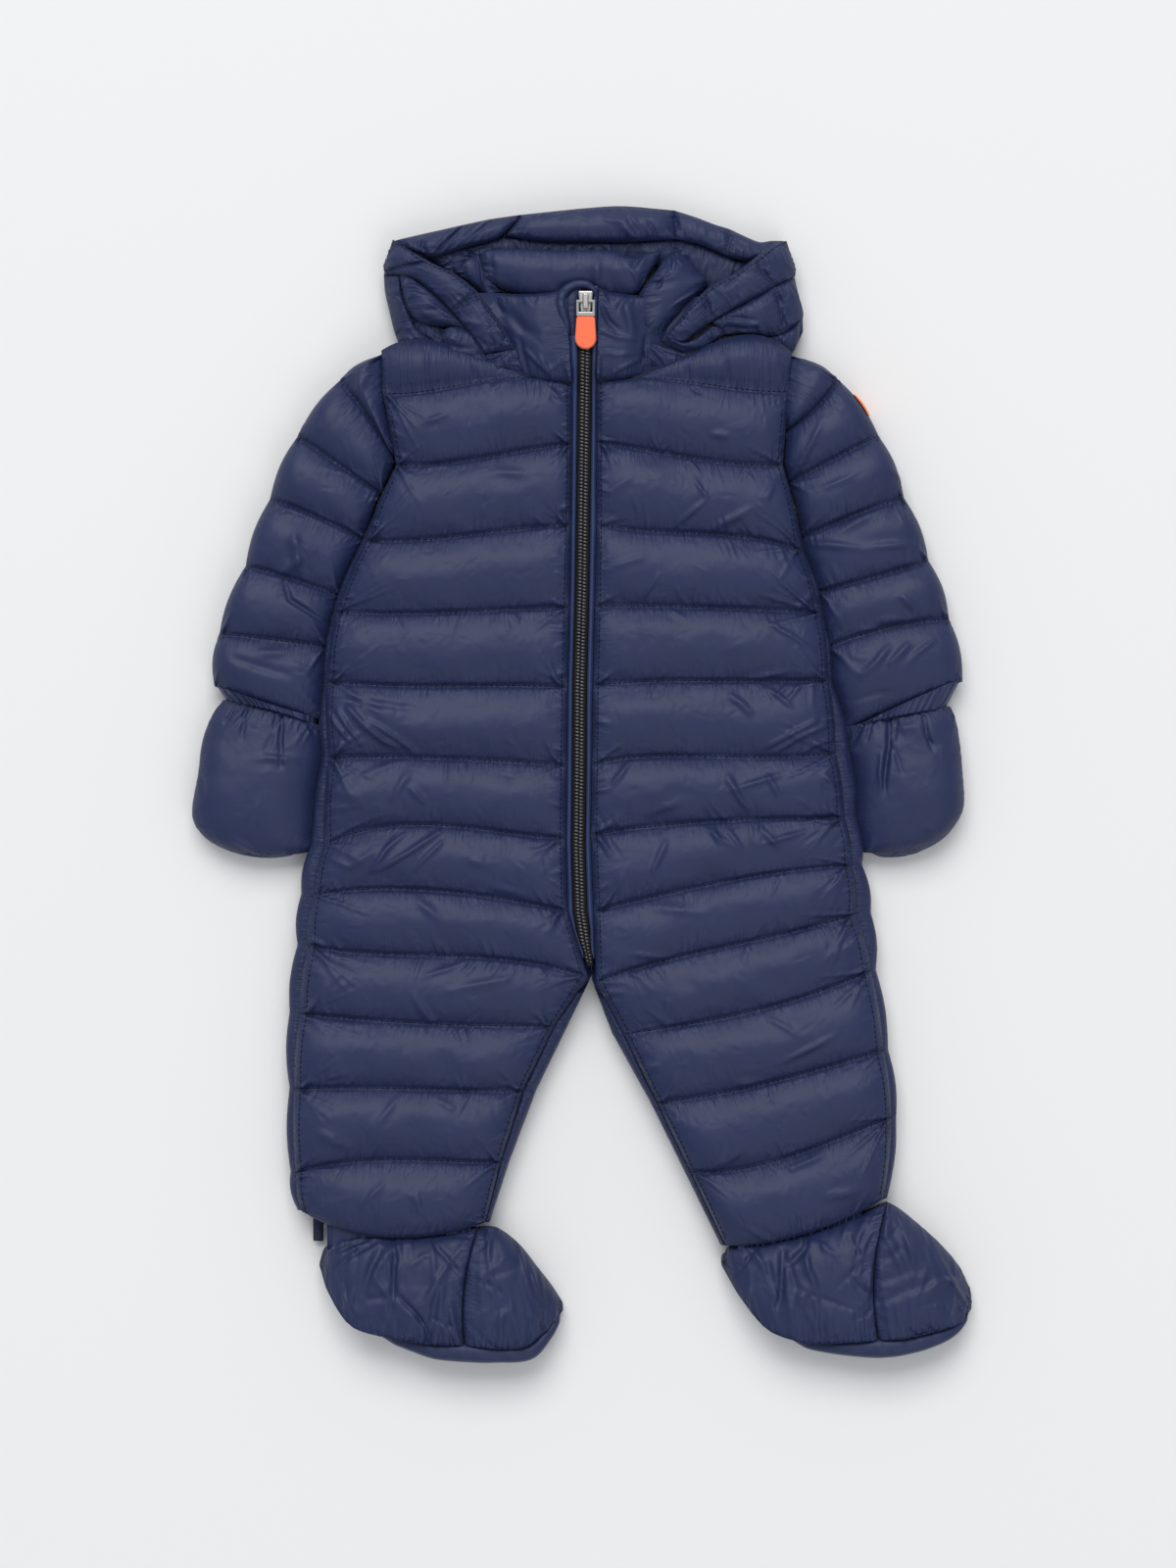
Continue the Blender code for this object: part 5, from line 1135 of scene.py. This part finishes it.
def fillWithAir(sheets):
    # all the sheets are one cloth, longer than their stitching, blown up from below
    faces, starts, count = [], [], 0
    for s in sheets:
        starts.append(count)
        faces += s.faces(count)
        count += s.sewn.size
    p = np.concatenate([s.points.reshape(-1, 3) for s in sheets])
    pins = np.concatenate([s.sewn.reshape(-1) for s in sheets])
    rough = air["noise"] * softNoise(p[:, 0] / 5, p[:, 1] / 5, 3)
    rough = rough + air["swell"] * softNoise(p[:, 0] / 17, p[:, 1] / 12, 8)
    rough += np.concatenate([s.rough.reshape(-1) for s in sheets])
    start = p.copy()
    start[:, 2] += np.where(pins, 0, rough)
    cloth = addMesh("air", (start * mm).tolist(), faces)
    group = cloth.vertex_groups.new(name="sewn")
    group.add([int(i) for i in np.nonzero(pins)[0]], 1.0, "REPLACE")
    mod = cloth.modifiers.new("Cloth", "CLOTH")
    for key, value in air["cloth"].items():
        setattr(mod.settings, key, value)
    mod.settings.effector_weights.gravity = 0
    mod.collision_settings.use_collision = False
    mod.point_cache.frame_start = 1
    mod.point_cache.frame_end = air["frames"]
    scene = bpy.context.scene
    for frameNumber in range(1, air["frames"] + 1):
        scene.frame_set(frameNumber)
    filled = cloth.evaluated_get(bpy.context.evaluated_depsgraph_get()).to_mesh()
    result = np.empty(len(filled.vertices) * 3)
    filled.vertices.foreach_get("co", result)
    mesh = cloth.data
    bpy.data.objects.remove(cloth)
    bpy.data.meshes.remove(mesh)
    scene.frame_set(1)
    move = result.reshape(-1, 3) / mm - p
    far = np.linalg.norm(move, axis=1, keepdims=True)
    result = p + move * (air["cap"] * np.tanh(far / air["cap"]) / np.maximum(far, 1e-9))
    for s, at in zip(sheets, starts):
        s.points = result[at:at + s.sewn.size].reshape(s.points.shape)
        if s.floor is not None:
            s.points[..., 2] = np.maximum(s.points[..., 2], s.floor)
    print("stage air", len(p), "points,", round(float(far.max()), 1), "mm most,",
          round(time.time() - startTime, 1), "s")


def halved(grid, axis, loop=False):
    # new points half way between the old ones, on a smooth curve through them
    g = np.moveaxis(grid, axis, 0)
    if loop:
        start, after, before, second = g, np.roll(g, -1, 0), np.roll(g, 1, 0), np.roll(g, -2, 0)
    else:
        start, after, before = g[:-1], g[1:], np.concatenate([2 * g[:1] - g[1:2], g[:-2]])
        second = np.concatenate([g[2:], 2 * g[-1:] - g[-2:-1]])
    middle = (9 * (start + after) - before - second) / 16
    result = np.empty((len(g) + len(middle),) + g.shape[1:])
    result[0::2] = g
    result[1::2] = middle
    return np.moveaxis(result, 0, axis)


def makeFiner(sheet):
    sheet.points = halved(halved(sheet.points, 0), 1, sheet.loop)
    sewn = np.zeros(sheet.points.shape[:2], dtype=bool)
    both = sheet.sewn & np.roll(sheet.sewn, -1, 1)
    sewn[0::2, 0::2] = sheet.sewn
    sewn[0::2, 1::2] = both if sheet.loop else both[:, :-1]
    sheet.sewn = sewn
    step = (sheet.u[1] - sheet.u[0]) / 2
    sheet.u, sheet.v = halved(sheet.u, 0), halved(sheet.v, 0)
    if sheet.loop:
        sheet.u = np.append(sheet.u, sheet.u[-1] + step)
    small = fineCreases(sheet, 8.0, 0.3, len(sheet.creases))
    relief = creaseField(sheet, sheet.creases, 0.6) + creaseField(sheet, small) + foldField(sheet)
    relief = np.where(sewn, 0.0, relief)[..., None]
    sheet.points = sheet.points + normalsOf(sheet) * (0.3, 0.3, 1.0) * relief
    if sheet.floor is not None:
        sheet.points[..., 2] = np.maximum(sheet.points[..., 2], sheet.floor)


# Gathered bands: thin shells with many small folds

bands = {
    "wristGathers": 14, "wristZ": 24.5, "wristEdgeZ": 8.5, "wristSteps": 9, "wristFold": 1.5,
    "ankleGathers": 24, "ankleZ": 22.0, "ankleLow": 2.0, "ankleColumns": 300, "ankleSteps": 8,
    "depth": 1.7,
}


def gatherWave(t, gathers, seed):
    phase = 2 * np.pi * (gathers * t + 0.8 * softNoise(t * gathers * 0.6, 0, seed))
    return np.sin(phase) * (0.65 + 0.65 * softNoise(t * gathers * 0.4, 3, seed + 1))


def wristbandPiece(side):
    steps = bands["wristSteps"]
    rings = []
    for j in range(steps + 1):
        row = between(sleeve[side][-1], mitten[side][0], lerp(-0.25, 1.12, j / steps))
        row = section(*across(row, 0.03), *across(row, 0.97), row.bow, bands["wristZ"])
        ring, t = tubeRing(row, bands["wristEdgeZ"], 150, 16)
        pull = 1 - 0.5 * math.sin(math.pi * j / steps)
        ring[:len(t), 2] += bands["depth"] * gatherWave(t, bands["wristGathers"], 21 + signOf[side]) * pull
        rings.append(besideBody(side, ring, 0.9))
    tucks = (bands["wristFold"], bands["wristFold"])
    piece = tubePiece(f"wristband_{side}", rings, "navy_trim", f"wristband_{side}", tucks)
    ring = rings[steps // 2]


def anklebandPiece(side):
    hem = frontRows[side][-1]
    edge = sorted({(r.xOut, r.yOut) for p in ("quarter", "toe") for r in bootie[f"{p}_{side}"]})
    t = np.linspace(0.08, 0.86, bands["ankleColumns"] + 1)
    x = lerp(hem.xIn, hem.xOut, t)
    yHem = stitchY(hem, t) + 3.0
    yLow = np.minimum(np.interp(x, *zip(*edge)) - 1.0, yHem - 6.0)
    wave = gatherWave(t, bands["ankleGathers"], 31 + signOf[side])
    rows = []
    for f in np.linspace(0, 1, bands["ankleSteps"] + 1):
        pull = 1 - 0.45 * math.sin(math.pi * f)
        z = bands["ankleZ"] - 1.5 * f + bands["depth"] * 1.2 * wave * pull
        rows.append(np.stack([x, lerp(yHem, yLow, f), z], axis=-1))
    points, faces = closeSheet(Sheet("ankleband", rows, low=bands["ankleLow"]))
    piece = makePiece(f"ankleband_{side}", points, faces, "navy_trim", f"ankleband_{side}")


def solePiece(side):
    rows, last = sole[side], len(sole[side]) - 1
    rings = []
    for j in range(sole["steps"] + 1):
        v = last * j / sole["steps"]
        r = smoothRow(rows, v)
        end = math.sqrt(clamp(v / 0.8 + 0.02)) * math.sqrt(clamp((last - v) / 0.35 + 0.05))
        high = r.height * (1.14 + 0.05 * float(softNoise(j / 2.2, 0, 41)))
        ring = []
        for angle in 2 * math.pi * np.arange(sole["ring"]) / sole["ring"]:
            out, up = (0.5 + 0.5 * math.copysign(abs(c) ** 0.65, c)
                       for c in (math.cos(angle), math.sin(angle)))
            ring.append((lerp(r.xUpper, r.xEdge, out * end), lerp(r.yUpper + 2.4, r.yEdge, out * end),
                         high * 0.04 + high * 0.92 * up * (0.75 + 0.25 * end)))
        rings.append(ring)
    piece = tubePiece(f"bootie_sole_{side}", rings, "navy_trim", f"bootie_sole_{side}", detail=1)


# The zip: tape, coils, a corded welt each side, and the padded fold at the chin

zipper = {
    "line": ((-106.1, 4.9), (-99.4, 3.7), (-89.9, 1.6), (-72.5, -1.1), (-35, -2.2), (0.3, -1.7),
             (56.3, -1.4), (112.3, 0), (196.3, 1.1), (252.3, 1.7), (284, 2.2)),     # y, x
    "bodyZ": 23.0, "collarZ": 31.0, "topY": 284.0, "endY": -104.0, "weltEndY": -99.0, "garageY": 256.0,
    "tapeHalf": 4.1, "coilPitch": 1.95, "coilHalf": 2.7, "coilThick": 0.42, "coilTop": 14.0,
    "welt": ((0, -1.0), (0, 0.6), (0.2, 2.0), (0.45, 2.5), (0.7, 1.7), (1, 0.9), (1, -1.0)),
    "weltShown": 5.5, "cut": 12.0,
}


def zipX(y):
    ys, xs = zip(*zipper["line"])
    return np.interp(y, ys, xs)


def zipZ(y):
    return lerp(zipper["bodyZ"], zipper["collarZ"], ease((np.asarray(y) - 222.0) / 22.0))


def zipEdgeX(side, y):
    first = collar[side][0]
    rows = [(first.yOut + 1.0, first.xOut), (first.yIn, first.xIn)]
    rows += [(r.yIn, r.xIn) for r in frontRows[side][:forkRow + 1]]
    ys, xs = zip(*rows[::-1])
    return np.interp(y, ys, xs)


def tapeHalf(y):
    gap = zipEdgeX("left", y) - zipEdgeX("right", y)
    return np.minimum(zipper["tapeHalf"], 0.5 * gap - 0.4 - np.where(y < zipper["weltEndY"] + 2, 0.9, 1.6))


def tapePiece():
    rings = []
    for y in np.linspace(zipper["topY"], zipper["endY"], 300):
        x, z, half = float(zipX(y)), float(zipZ(y)), float(tapeHalf(y))
        rings.append([(x + off, y, z + up) for off, up in (
            (-half, -1.0), (-half, 0), (-0.3, 0.25), (0, -0.1), (0.3, 0.25), (half, 0), (half, -1.0))])
    tape = tubePiece("zip_tape", rings, "zip_tape", "zip_chain")


def coilPiece():
    # each side's coil: flattened loops that reach past the middle between the other's
    points, faces = [], []
    y = zipper["topY"] - zipper["coilTop"]
    while y > zipper["endY"] + 2.0:
        for s, down in ((-1, 0.0), (1, 0.5)):
            at = y - zipper["coilPitch"] * down
            x, z = float(zipX(at)), float(zipZ(at))
            half = min(zipper["coilHalf"], float(tapeHalf(at)) - 0.5)
            faces += ringFaces(len(points), 5, 6, s)
            for out, up, grow in ((half, 0.2, 0.8), (half * 0.85, 1.0, 1.0), (half * 0.5, 1.35, 1.1),
                                  (0.55, 1.25, 1.2), (0.15, 0.6, 0.9)):
                for angle in math.pi * np.arange(6) / 3:
                    points.append((x + s * out,
                                   at + grow * 0.6 * math.cos(angle) + 0.3 * (half - out) / half * s,
                                   z + up + grow * zipper["coilThick"] * math.sin(angle)))
        y -= zipper["coilPitch"]
    makePiece("zip_coil", points, faces, "zip_tape", look="coil")


def weltPiece(side):
    s = signOf[side]
    top = zipper["topY"] if side == "left" else zipper["garageY"] - 0.4
    rings = []
    for y in np.linspace(top, zipper["weltEndY"], 260):
        a = float(zipX(y) + s * (tapeHalf(y) + 0.15))
        b = float(zipEdgeX(side, y) - s * 0.25)
        z = float(zipZ(y)) + 0.12 * float(softNoise(y / 6, 0, 51))
        rings.append([(lerp(a, b, share), y, z + up) for share, up in zipper["welt"]])
    welt = tubePiece(f"zip_welt_{side}", rings, "zip_welt", f"zip_welt_{side}")


# The fold over the zip's top and the flap inside it: points along each, x, y, z, half width
garage = {
    "fold": ((-7.6, 256.5, 31.5, 1), (-8.6, 262, 32, 2.2), (-11, 269, 32.5, 2.9),
             (-12, 275.5, 32.5, 3), (-9.6, 281, 32.5, 2.8), (-4, 284.4, 32.5, 2.5),
             (2.4, 284.6, 32.5, 2.4), (6.6, 281.6, 32.3, 1.6), (7.8, 277.6, 31.8, 0.8)),
    "flap": ((-5, 255.5, 31, 1.4), (-5.4, 263, 31.2, 2.2), (-6, 270, 31.2, 3.2), (-5.6, 277, 31, 3.6),
             (-3.4, 281.5, 30.6, 3), (0.4, 284, 30.2, 1.6)),
    "rise": {"fold": 3.6, "flap": 1.4}, "steps": 60, "ring": 16,
}


def garageRings(part):
    rings = []
    steps, rows = garage["steps"], garage[part]
    line = np.array([smoothPlace(rows, (len(rows) - 1) * j / steps) for j in range(steps + 1)])
    along = np.gradient(line[:, :2], axis=0)
    along /= np.linalg.norm(along, axis=1, keepdims=True)
    for j, ((x, y, z, half), (dx, dy)) in enumerate(zip(line, along)):
        high = garage["rise"][part] * (1 + 0.16 * float(softNoise(j / 3.0, 0, 61)))
        ring = []
        for angle in 2 * math.pi * np.arange(garage["ring"]) / garage["ring"]:
            off = half * math.cos(angle)
            up = high * math.sin(angle) * (half / 3.0) ** 0.5
            ring.append((x - dy * off, y + dx * off, z + max(up, -1.5)))
        rings.append(ring)
    return rings


def garagePiece():
    points, faces = [], []
    for part in ("fold", "flap"):
        p, f = closeTube(Sheet(part, garageRings(part), loop=True))
        faces += [[i + len(points) for i in face] for face in f]
        points += p.tolist()
    piece = makePiece("zip_garage", points, faces, "navy_cloth", "zip_garage", detail=1)


# Stitches: short bars of thread along each sewn line, joined to one mesh a piece

thread = {"length": 2.3, "gap": 0.8, "half": 0.26, "lift": 0.12, "rise": 0.22}


def stitchesAlong(lines, name):
    points, faces = [], []
    for line in lines:
        length = lengthAlong(line)
        at = thread["gap"]
        while at + thread["length"] < length[-1]:
            ends = [np.array([np.interp(at + thread["length"] * f, length, line[:, c]) for c in range(3)])
                    for f in (0, 0.5, 1)]
            along = ends[2] - ends[0]
            side = np.array([-along[1], along[0], 0.0])
            side /= max(np.linalg.norm(side), 1e-6)
            faces += ringFaces(len(points), 3, 4, -1)
            for q, grow, lift in zip(ends, (0.5, 1.0, 0.5), (0.0, thread["rise"], 0.0)):
                half, up = thread["half"] * grow, thread["lift"] + lift
                points += [q + side * half + (0, 0, up - 0.1), q + (0, 0, up + half),
                           q - side * half + (0, 0, up - 0.1), q + (0, 0, up - 0.1 - half)]
            at += thread["length"] + thread["gap"]
    makePiece(name, points, faces, "navy_trim", look="thread")


# The patch starts and ends at these places of the sleeve's rows, and columns from its outer edge
badge = {
    "rows": (1.27, 1.69), "columns": (-7, 4), "cut": (15.5, 16.5),
    "lift": 0.45, "ends": 0.55, "rise": 0.65,
}


def badgePiece(arm):
    # a plain patch on the sleeve's outer edge, from the sleeve's own points, thinner at both ends
    chosen = [2 * j for j, v in enumerate(arm.places) if badge["rows"][0] <= v <= badge["rows"][1]]
    first, last = (2 * arm.topColumns + c for c in badge["columns"])
    patch = arm.points[chosen[0]:chosen[-1] + 1, first:last]
    normal = unit(np.cross(np.gradient(patch, axis=0), np.gradient(patch, axis=1)))
    normal *= np.sign(normal[..., 0].mean())
    rise = badge["ends"] + badge["rise"] * np.sin(np.linspace(0, math.pi, len(patch))) ** 0.5
    outer = Sheet("badge", patch + normal * rise[:, None, None])
    top, inner = outer.points, patch + normal * badge["lift"]
    out = np.cross(top[1, 0] - top[0, 0], top[0, 1] - top[0, 0])
    turn = 1 if np.dot(out, normal[0, 0]) < 0 else -1
    index = np.arange(patch[..., 0].size).reshape(patch.shape[:2])
    faces = outer.quads()[:, ::turn].tolist() + (outer.quads()[:, ::-turn] + index.size).tolist()
    border = np.concatenate([index[0], index[1:, -1], index[-1, -2::-1], index[-2:0:-1, 0]]).tolist()
    for a, b in zip(border, border[1:] + border[:1]):
        faces.append([a, a + index.size, b + index.size, b][::turn])
    points = np.concatenate([top, inner])
    piece = makePiece("sleeve_badge", points, faces, "badge", "sleeve_badge", detail=1)


# The tab: its y from the seam to its end, the ring of its section, and its cut
ankleTab = {
    "x": -151.8, "y": (-245.3, -262.7), "z": 4.8, "half": 3.0, "steps": 19, "cut": (12.0, 18.0),
    "ring": ((-1, 0), (-0.9, 0.4), (0.9, 0.4), (1, 0), (0.9, -0.4), (-0.9, -0.4)),
}


def ankleTabPiece():
    rings, steps = [], ankleTab["steps"]
    for j in range(steps + 1):
        y = lerp(*ankleTab["y"], j / steps)
        z = ankleTab["z"] + 0.5 * math.sin(j / steps * 2.6)
        half = ankleTab["half"] - (0.25 if j in (0, steps) else 0.0)
        rings.append([(ankleTab["x"] + half * c, y, z + up) for c, up in ankleTab["ring"]])
    tab = tubePiece("ankle_tab", rings, "woven_tab", "ankle_tab")


def nearSewn(sheet):
    # how near each point is to a sewn row, and to a sewn first or last column
    rows, columns = sheet.points.shape[:2]
    row, column = np.zeros((rows, columns)), np.zeros((rows, columns))
    for j in range(rows):
        if sheet.sewn[j].all():
            row = np.maximum(row, np.exp(-(np.abs(sheet.v - sheet.v[j]) / 6.0) ** 1.2)[:, None])
    for i in (0, 2 * sheet.topColumns if sheet.loop else columns - 1):
        column = np.maximum(column, np.exp(-(np.abs(sheet.u - sheet.u[i]) / 6.5) ** 1.2)[None, :])
    return row, column


def paddedPiece(node):
    # a node's sheets, closed underneath and joined; marks are the cloth's u and v, and how near
    # a sewn row and column are
    points, faces, marks, start = [], [], [], 0
    for sheet in (s for s in sheets.values() if s.name.split()[0] == node):
        p, f = closeTube(sheet, (1.2, 0)) if sheet.loop else closeSheet(sheet)
        points.append(p)
        faces += [[i + start for i in face] for face in f]
        start += len(p)
        grid = np.stack([*np.meshgrid(sheet.u, sheet.v), *nearSewn(sheet)], axis=-1).reshape(-1, 4)
        marks += [grid, np.zeros((len(p) - len(grid), 4))]
    piece = makePiece(node, np.concatenate(points), faces, "navy_cloth", node)
    marks = np.concatenate(marks)
    corner = np.empty(len(piece.data.loops), dtype=int)
    piece.data.loops.foreach_get("vertex_index", corner)
    piece.data.uv_layers.new(name="cloth").data.foreach_set("uv", marks[corner, :2].ravel())
    for name, column in (("nearRow", 2), ("nearColumn", 3)):
        values = piece.data.attributes.new(name, "FLOAT", "POINT")
        values.data.foreach_set("value", marks[:, column].copy())


# Materials. Relief is for cloth, marks for rubber and metal

looks = {
    "navy_cloth": {"colour": (23, 35, 73), "roughness": 0.55, "specular": 0.42,
                   "sheen": 0.04, "relief": 1.0},
    "navy_trim": {"colour": (24, 36, 73), "roughness": 0.55, "specular": 0.42,
                  "sheen": 0.05, "relief": 0.8},
    "zip_welt": {"colour": (34, 49, 92), "roughness": 0.55, "specular": 0.45, "sheen": 0.1, "relief": 0.6},
    "zip_tape": {"colour": (11, 13, 19), "roughness": 0.7, "specular": 0.3, "relief": 0.5},
    "coil": {"colour": (70, 69, 70), "roughness": 0.2, "specular": 0.8, "relief": 0.0},
    "thread": {"colour": (8, 11, 25), "roughness": 0.7, "specular": 0.15, "relief": 0.0},
    "badge": {"colour": (250, 120, 28), "roughness": 0.6, "specular": 0.4, "sheen": 0.1, "relief": 0.5},
    "woven_tab": {"colour": (28, 34, 58), "roughness": 0.65, "specular": 0.35, "sheen": 0.1, "relief": 0.6},
    "zip_metal": {"colour": (184, 182, 178), "roughness": 0.34, "metallic": 1.0, "marks": 0.3},
    "pull_rubber": {"colour": (250, 112, 72), "roughness": 0.5, "specular": 0.45, "marks": 1.0},
}
cadLooks = {"slider": "zip_metal", "pull_frame": "zip_metal", "pull_tab": "pull_rubber"}


def linear(rgb):
    return tuple((c / 255 / 12.92 if c <= 10 else ((c / 255 + 0.055) / 1.055) ** 2.4) for c in rgb) + (1.0,)


def newNode(tree, kind, **values):
    made = tree.nodes.new(kind)
    for key, value in values.items():
        if hasattr(made, key):
            setattr(made, key, value)
        else:
            made.inputs[key.replace("_", " ")].default_value = value
    return made


def newGroup(name, amount, colour):
    # a group that takes a colour and an amount, and gives a colour and a normal
    tree = bpy.data.node_groups.new(name, "ShaderNodeTree")
    for label, kind, value in (("Colour", "NodeSocketColor", colour), (amount, "NodeSocketFloat", 1.0)):
        tree.interface.new_socket(label, in_out="INPUT", socket_type=kind).default_value = value
    for label, kind in (("Colour", "NodeSocketColor"), ("Normal", "NodeSocketVector")):
        tree.interface.new_socket(label, in_out="OUTPUT", socket_type=kind)
    return tree, tree.nodes.new("NodeGroupInput"), tree.nodes.new("NodeGroupOutput")


def noise(tree, vector, **values):
    made = newNode(tree, "ShaderNodeTexNoise", **values)
    tree.links.new(vector, made.inputs["Vector"])
    return made.outputs["Fac"]


def bumps(tree, amount, heights, result):
    # one bump on another, each with its own distance in metres
    last = None
    for source, distance in heights:
        bump = newNode(tree, "ShaderNodeBump", Distance=distance)
        tree.links.new(amount, bump.inputs["Strength"])
        tree.links.new(source, bump.inputs["Height"])
        if last is not None:
            tree.links.new(last.outputs["Normal"], bump.inputs["Normal"])
        last = bump
    tree.links.new(last.outputs["Normal"], result.inputs["Normal"])


def tones(tree, given, source, low, high, result):
    # the colour, darker and lighter over the surface
    shade = newNode(tree, "ShaderNodeMapRange", To_Min=low, To_Max=high)
    tone = newNode(tree, "ShaderNodeHueSaturation")
    tree.links.new(source, shade.inputs["Value"])
    tree.links.new(shade.outputs["Result"], tone.inputs["Value"])
    tree.links.new(given.outputs["Colour"], tone.inputs["Color"])
    tree.links.new(tone.outputs["Color"], result.inputs["Colour"])


def clothGroup():
    # woven nylon: short gathers next to a stitch line, soft crumples, and the weave
    tree, given, result = newGroup("woven nylon", "Relief", (0.03, 0.04, 0.1, 1))
    flat = newNode(tree, "ShaderNodeUVMap", uv_map="cloth").outputs["UV"]
    place = newNode(tree, "ShaderNodeTexCoord").outputs["Object"]
    heights = []
    for name, squeeze, distance in (("nearRow", (0.42, 0.085, 1.0), 0.0019),
                                    ("nearColumn", (0.085, 0.42, 1.0), 0.0021)):
        close = newNode(tree, "ShaderNodeAttribute", attribute_name=name)
        squeezed = newNode(tree, "ShaderNodeMapping", Scale=squeeze)
        pulled = newNode(tree, "ShaderNodeMath", operation="MULTIPLY")
        tree.links.new(flat, squeezed.inputs["Vector"])
        gather = noise(tree, squeezed.outputs["Vector"], Scale=1.0, Detail=2.5, Roughness=0.6,
                       Distortion=1.0)
        tree.links.new(gather, pulled.inputs[0])
        tree.links.new(close.outputs["Fac"], pulled.inputs[1])
        heights.append((pulled.outputs[0], distance))
    crumple = noise(tree, place, Scale=150.0, Detail=3.0, Roughness=0.55, Distortion=0.6)
    weave = noise(tree, place, Scale=2200.0, Detail=1.0)
    bumps(tree, given.outputs["Relief"], (*heights, (crumple, 0.0002), (weave, 0.00004)), result)
    tones(tree, given, noise(tree, place, Scale=28.0, Detail=2.0), 0.9, 1.1, result)
    return tree


def surfaceGroup():
    # fine marks in rubber and metal
    tree, given, result = newGroup("fine marks", "Marks", (0.5, 0.5, 0.5, 1))
    place = newNode(tree, "ShaderNodeTexCoord").outputs["Object"]
    grain = noise(tree, place, Scale=900.0, Detail=3.0)
    bumps(tree, given.outputs["Marks"], ((grain, 0.00006),), result)
    tones(tree, given, grain, 0.92, 1.06, result)
    return tree


groups = {"Relief": clothGroup(), "Marks": surfaceGroup()}
madeMaterials = {}


def material(look):
    if look in madeMaterials:
        return madeMaterials[look]
    values = looks[look]
    made = bpy.data.materials.new(look)
    made.use_nodes = True
    tree = made.node_tree
    shader = tree.nodes["Principled BSDF"]
    amount = "Relief" if "relief" in values else "Marks"
    group = tree.nodes.new("ShaderNodeGroup")
    group.node_tree = groups[amount]
    group.inputs["Colour"].default_value = linear(values["colour"])
    group.inputs[amount].default_value = values[amount.lower()]
    tree.links.new(group.outputs["Colour"], shader.inputs["Base Color"])
    tree.links.new(group.outputs["Normal"], shader.inputs["Normal"])
    shader.inputs["Roughness"].default_value = values["roughness"]
    shader.inputs["Metallic"].default_value = values.get("metallic", 0.0)
    shader.inputs["Specular IOR Level"].default_value = values.get("specular", 0.5)
    shader.inputs["Sheen Weight"].default_value = values.get("sheen", 0.0)
    shader.inputs["Sheen Roughness"].default_value = 0.4
    madeMaterials[look] = made
    return made


# The suit

sheets = {}
for side in sides:
    for made in (frontSheet(side), backSheet(side), sleeveSheet(side), mittenSheet(side), collarSheet(side),
                 bootieSheet("quarter", side), bootieSheet("toe", side)):
        sheets[made.name] = made
for node in pads:
    for name in pads[node]:
        made = padSheet(node, name)
        sheets[made.name] = made
for i, made in enumerate(sheets.values()):
    made.u, made.v = clothPlaces(made)
    made.quietTo = made.v[made.quietRow]
    made.creases = findCreases(made, wrinkles[made.name.split("_")[0]], 100 + i)
    made.rough = creaseField(made, made.creases) + 0.7 * foldField(made, 1.4)
fillWithAir(list(sheets.values()))
for made in sheets.values():
    makeFiner(made)
print("stage finer", round(time.time() - startTime, 1), "s")

for node in dict.fromkeys(name.split()[0] for name in sheets):
    paddedPiece(node)
for side in sides:
    wristbandPiece(side)
    anklebandPiece(side)
    solePiece(side)
    weltPiece(side)
tapePiece()
coilPiece()
garagePiece()
badgePiece(sheets["sleeve_left"])
ankleTabPiece()
for side in sides:
    front, arm = sheets[f"front_{side}"], sheets[f"sleeve_{side}"]
    flap = sheets[f"hood_{side} front"].points
    lines = [front.points[j, 1:-1] for j in range(len(front.points)) if front.sewn[j].all()][1:-1]
    lines += [arm.points[j, :2 * arm.topColumns] for j in range(len(arm.points)) if arm.sewn[j].all()][1:-1]
    lines += [front.points[4:-4, 3], front.points[16:-2, -5], flap[1:-1, 3], flap[1:-1, -1]]
    stitchesAlong(lines, f"stitches_{side}")
print("stage pieces", round(time.time() - startTime, 1), "s")

for piece in list(bpy.context.scene.objects):
    if piece.type == "MESH" and "look" in piece:
        piece.data.materials.clear()
        piece.data.materials.append(material(piece["look"]))
for name, look in cadLooks.items():
    node = frame["nodes"][name]
    for i in range(len(node.data.materials)):
        node.data.materials[i] = material(look)

# Floor, light and camera

studio = {
    "floorHalf": 4.0, "paper": (0.775, 0.765, 0.755, 1), "paperRoughness": 0.9,
    "lights": {     # place, width and depth in metres, power
        "key": ((-0.8, 5.2, 7.0), (6.5, 5.0), 550),
        "fill": ((2.5, -5.0, 6.5), (5.0, 5.0), 110),
    },
    "sky": (0.9, 0.94, 1.0, 1), "skyStrength": 0.55,
    "lens": 100.4, "sensor": 36, "cameraPlace": (0.00376, 0.00028, 2.522),
}

half = studio["floorHalf"]
corners = [(-half, -half, 0), (half, -half, 0), (half, half, 0), (-half, half, 0)]
floor = addMesh("floor", corners, [(0, 1, 2, 3)])
paper = bpy.data.materials.new("paper")
paper.use_nodes = True
paper.node_tree.nodes["Principled BSDF"].inputs["Base Color"].default_value = studio["paper"]
paper.node_tree.nodes["Principled BSDF"].inputs["Roughness"].default_value = studio["paperRoughness"]
floor.data.materials.append(paper)

for name, (place, size, power) in studio["lights"].items():
    data = bpy.data.lights.new(name, "AREA")
    data.shape = "RECTANGLE"
    data.size, data.size_y = size
    data.energy = power
    lamp = addObject(name, data)
    lamp.location = place
    lamp.rotation_euler = (-Vector(place)).to_track_quat("-Z", "Y").to_euler()
world = bpy.data.worlds.new("studio")
world.use_nodes = True
world.node_tree.nodes["Background"].inputs["Color"].default_value = studio["sky"]
world.node_tree.nodes["Background"].inputs["Strength"].default_value = studio["skyStrength"]
bpy.context.scene.world = world
bpy.context.scene.view_settings.view_transform = "Standard"

lens = bpy.data.cameras.new("camera")
lens.lens = studio["lens"]
lens.sensor_width = studio["sensor"]
camera = addObject("camera", lens)
camera.location = studio["cameraPlace"]
bpy.context.scene.camera = camera
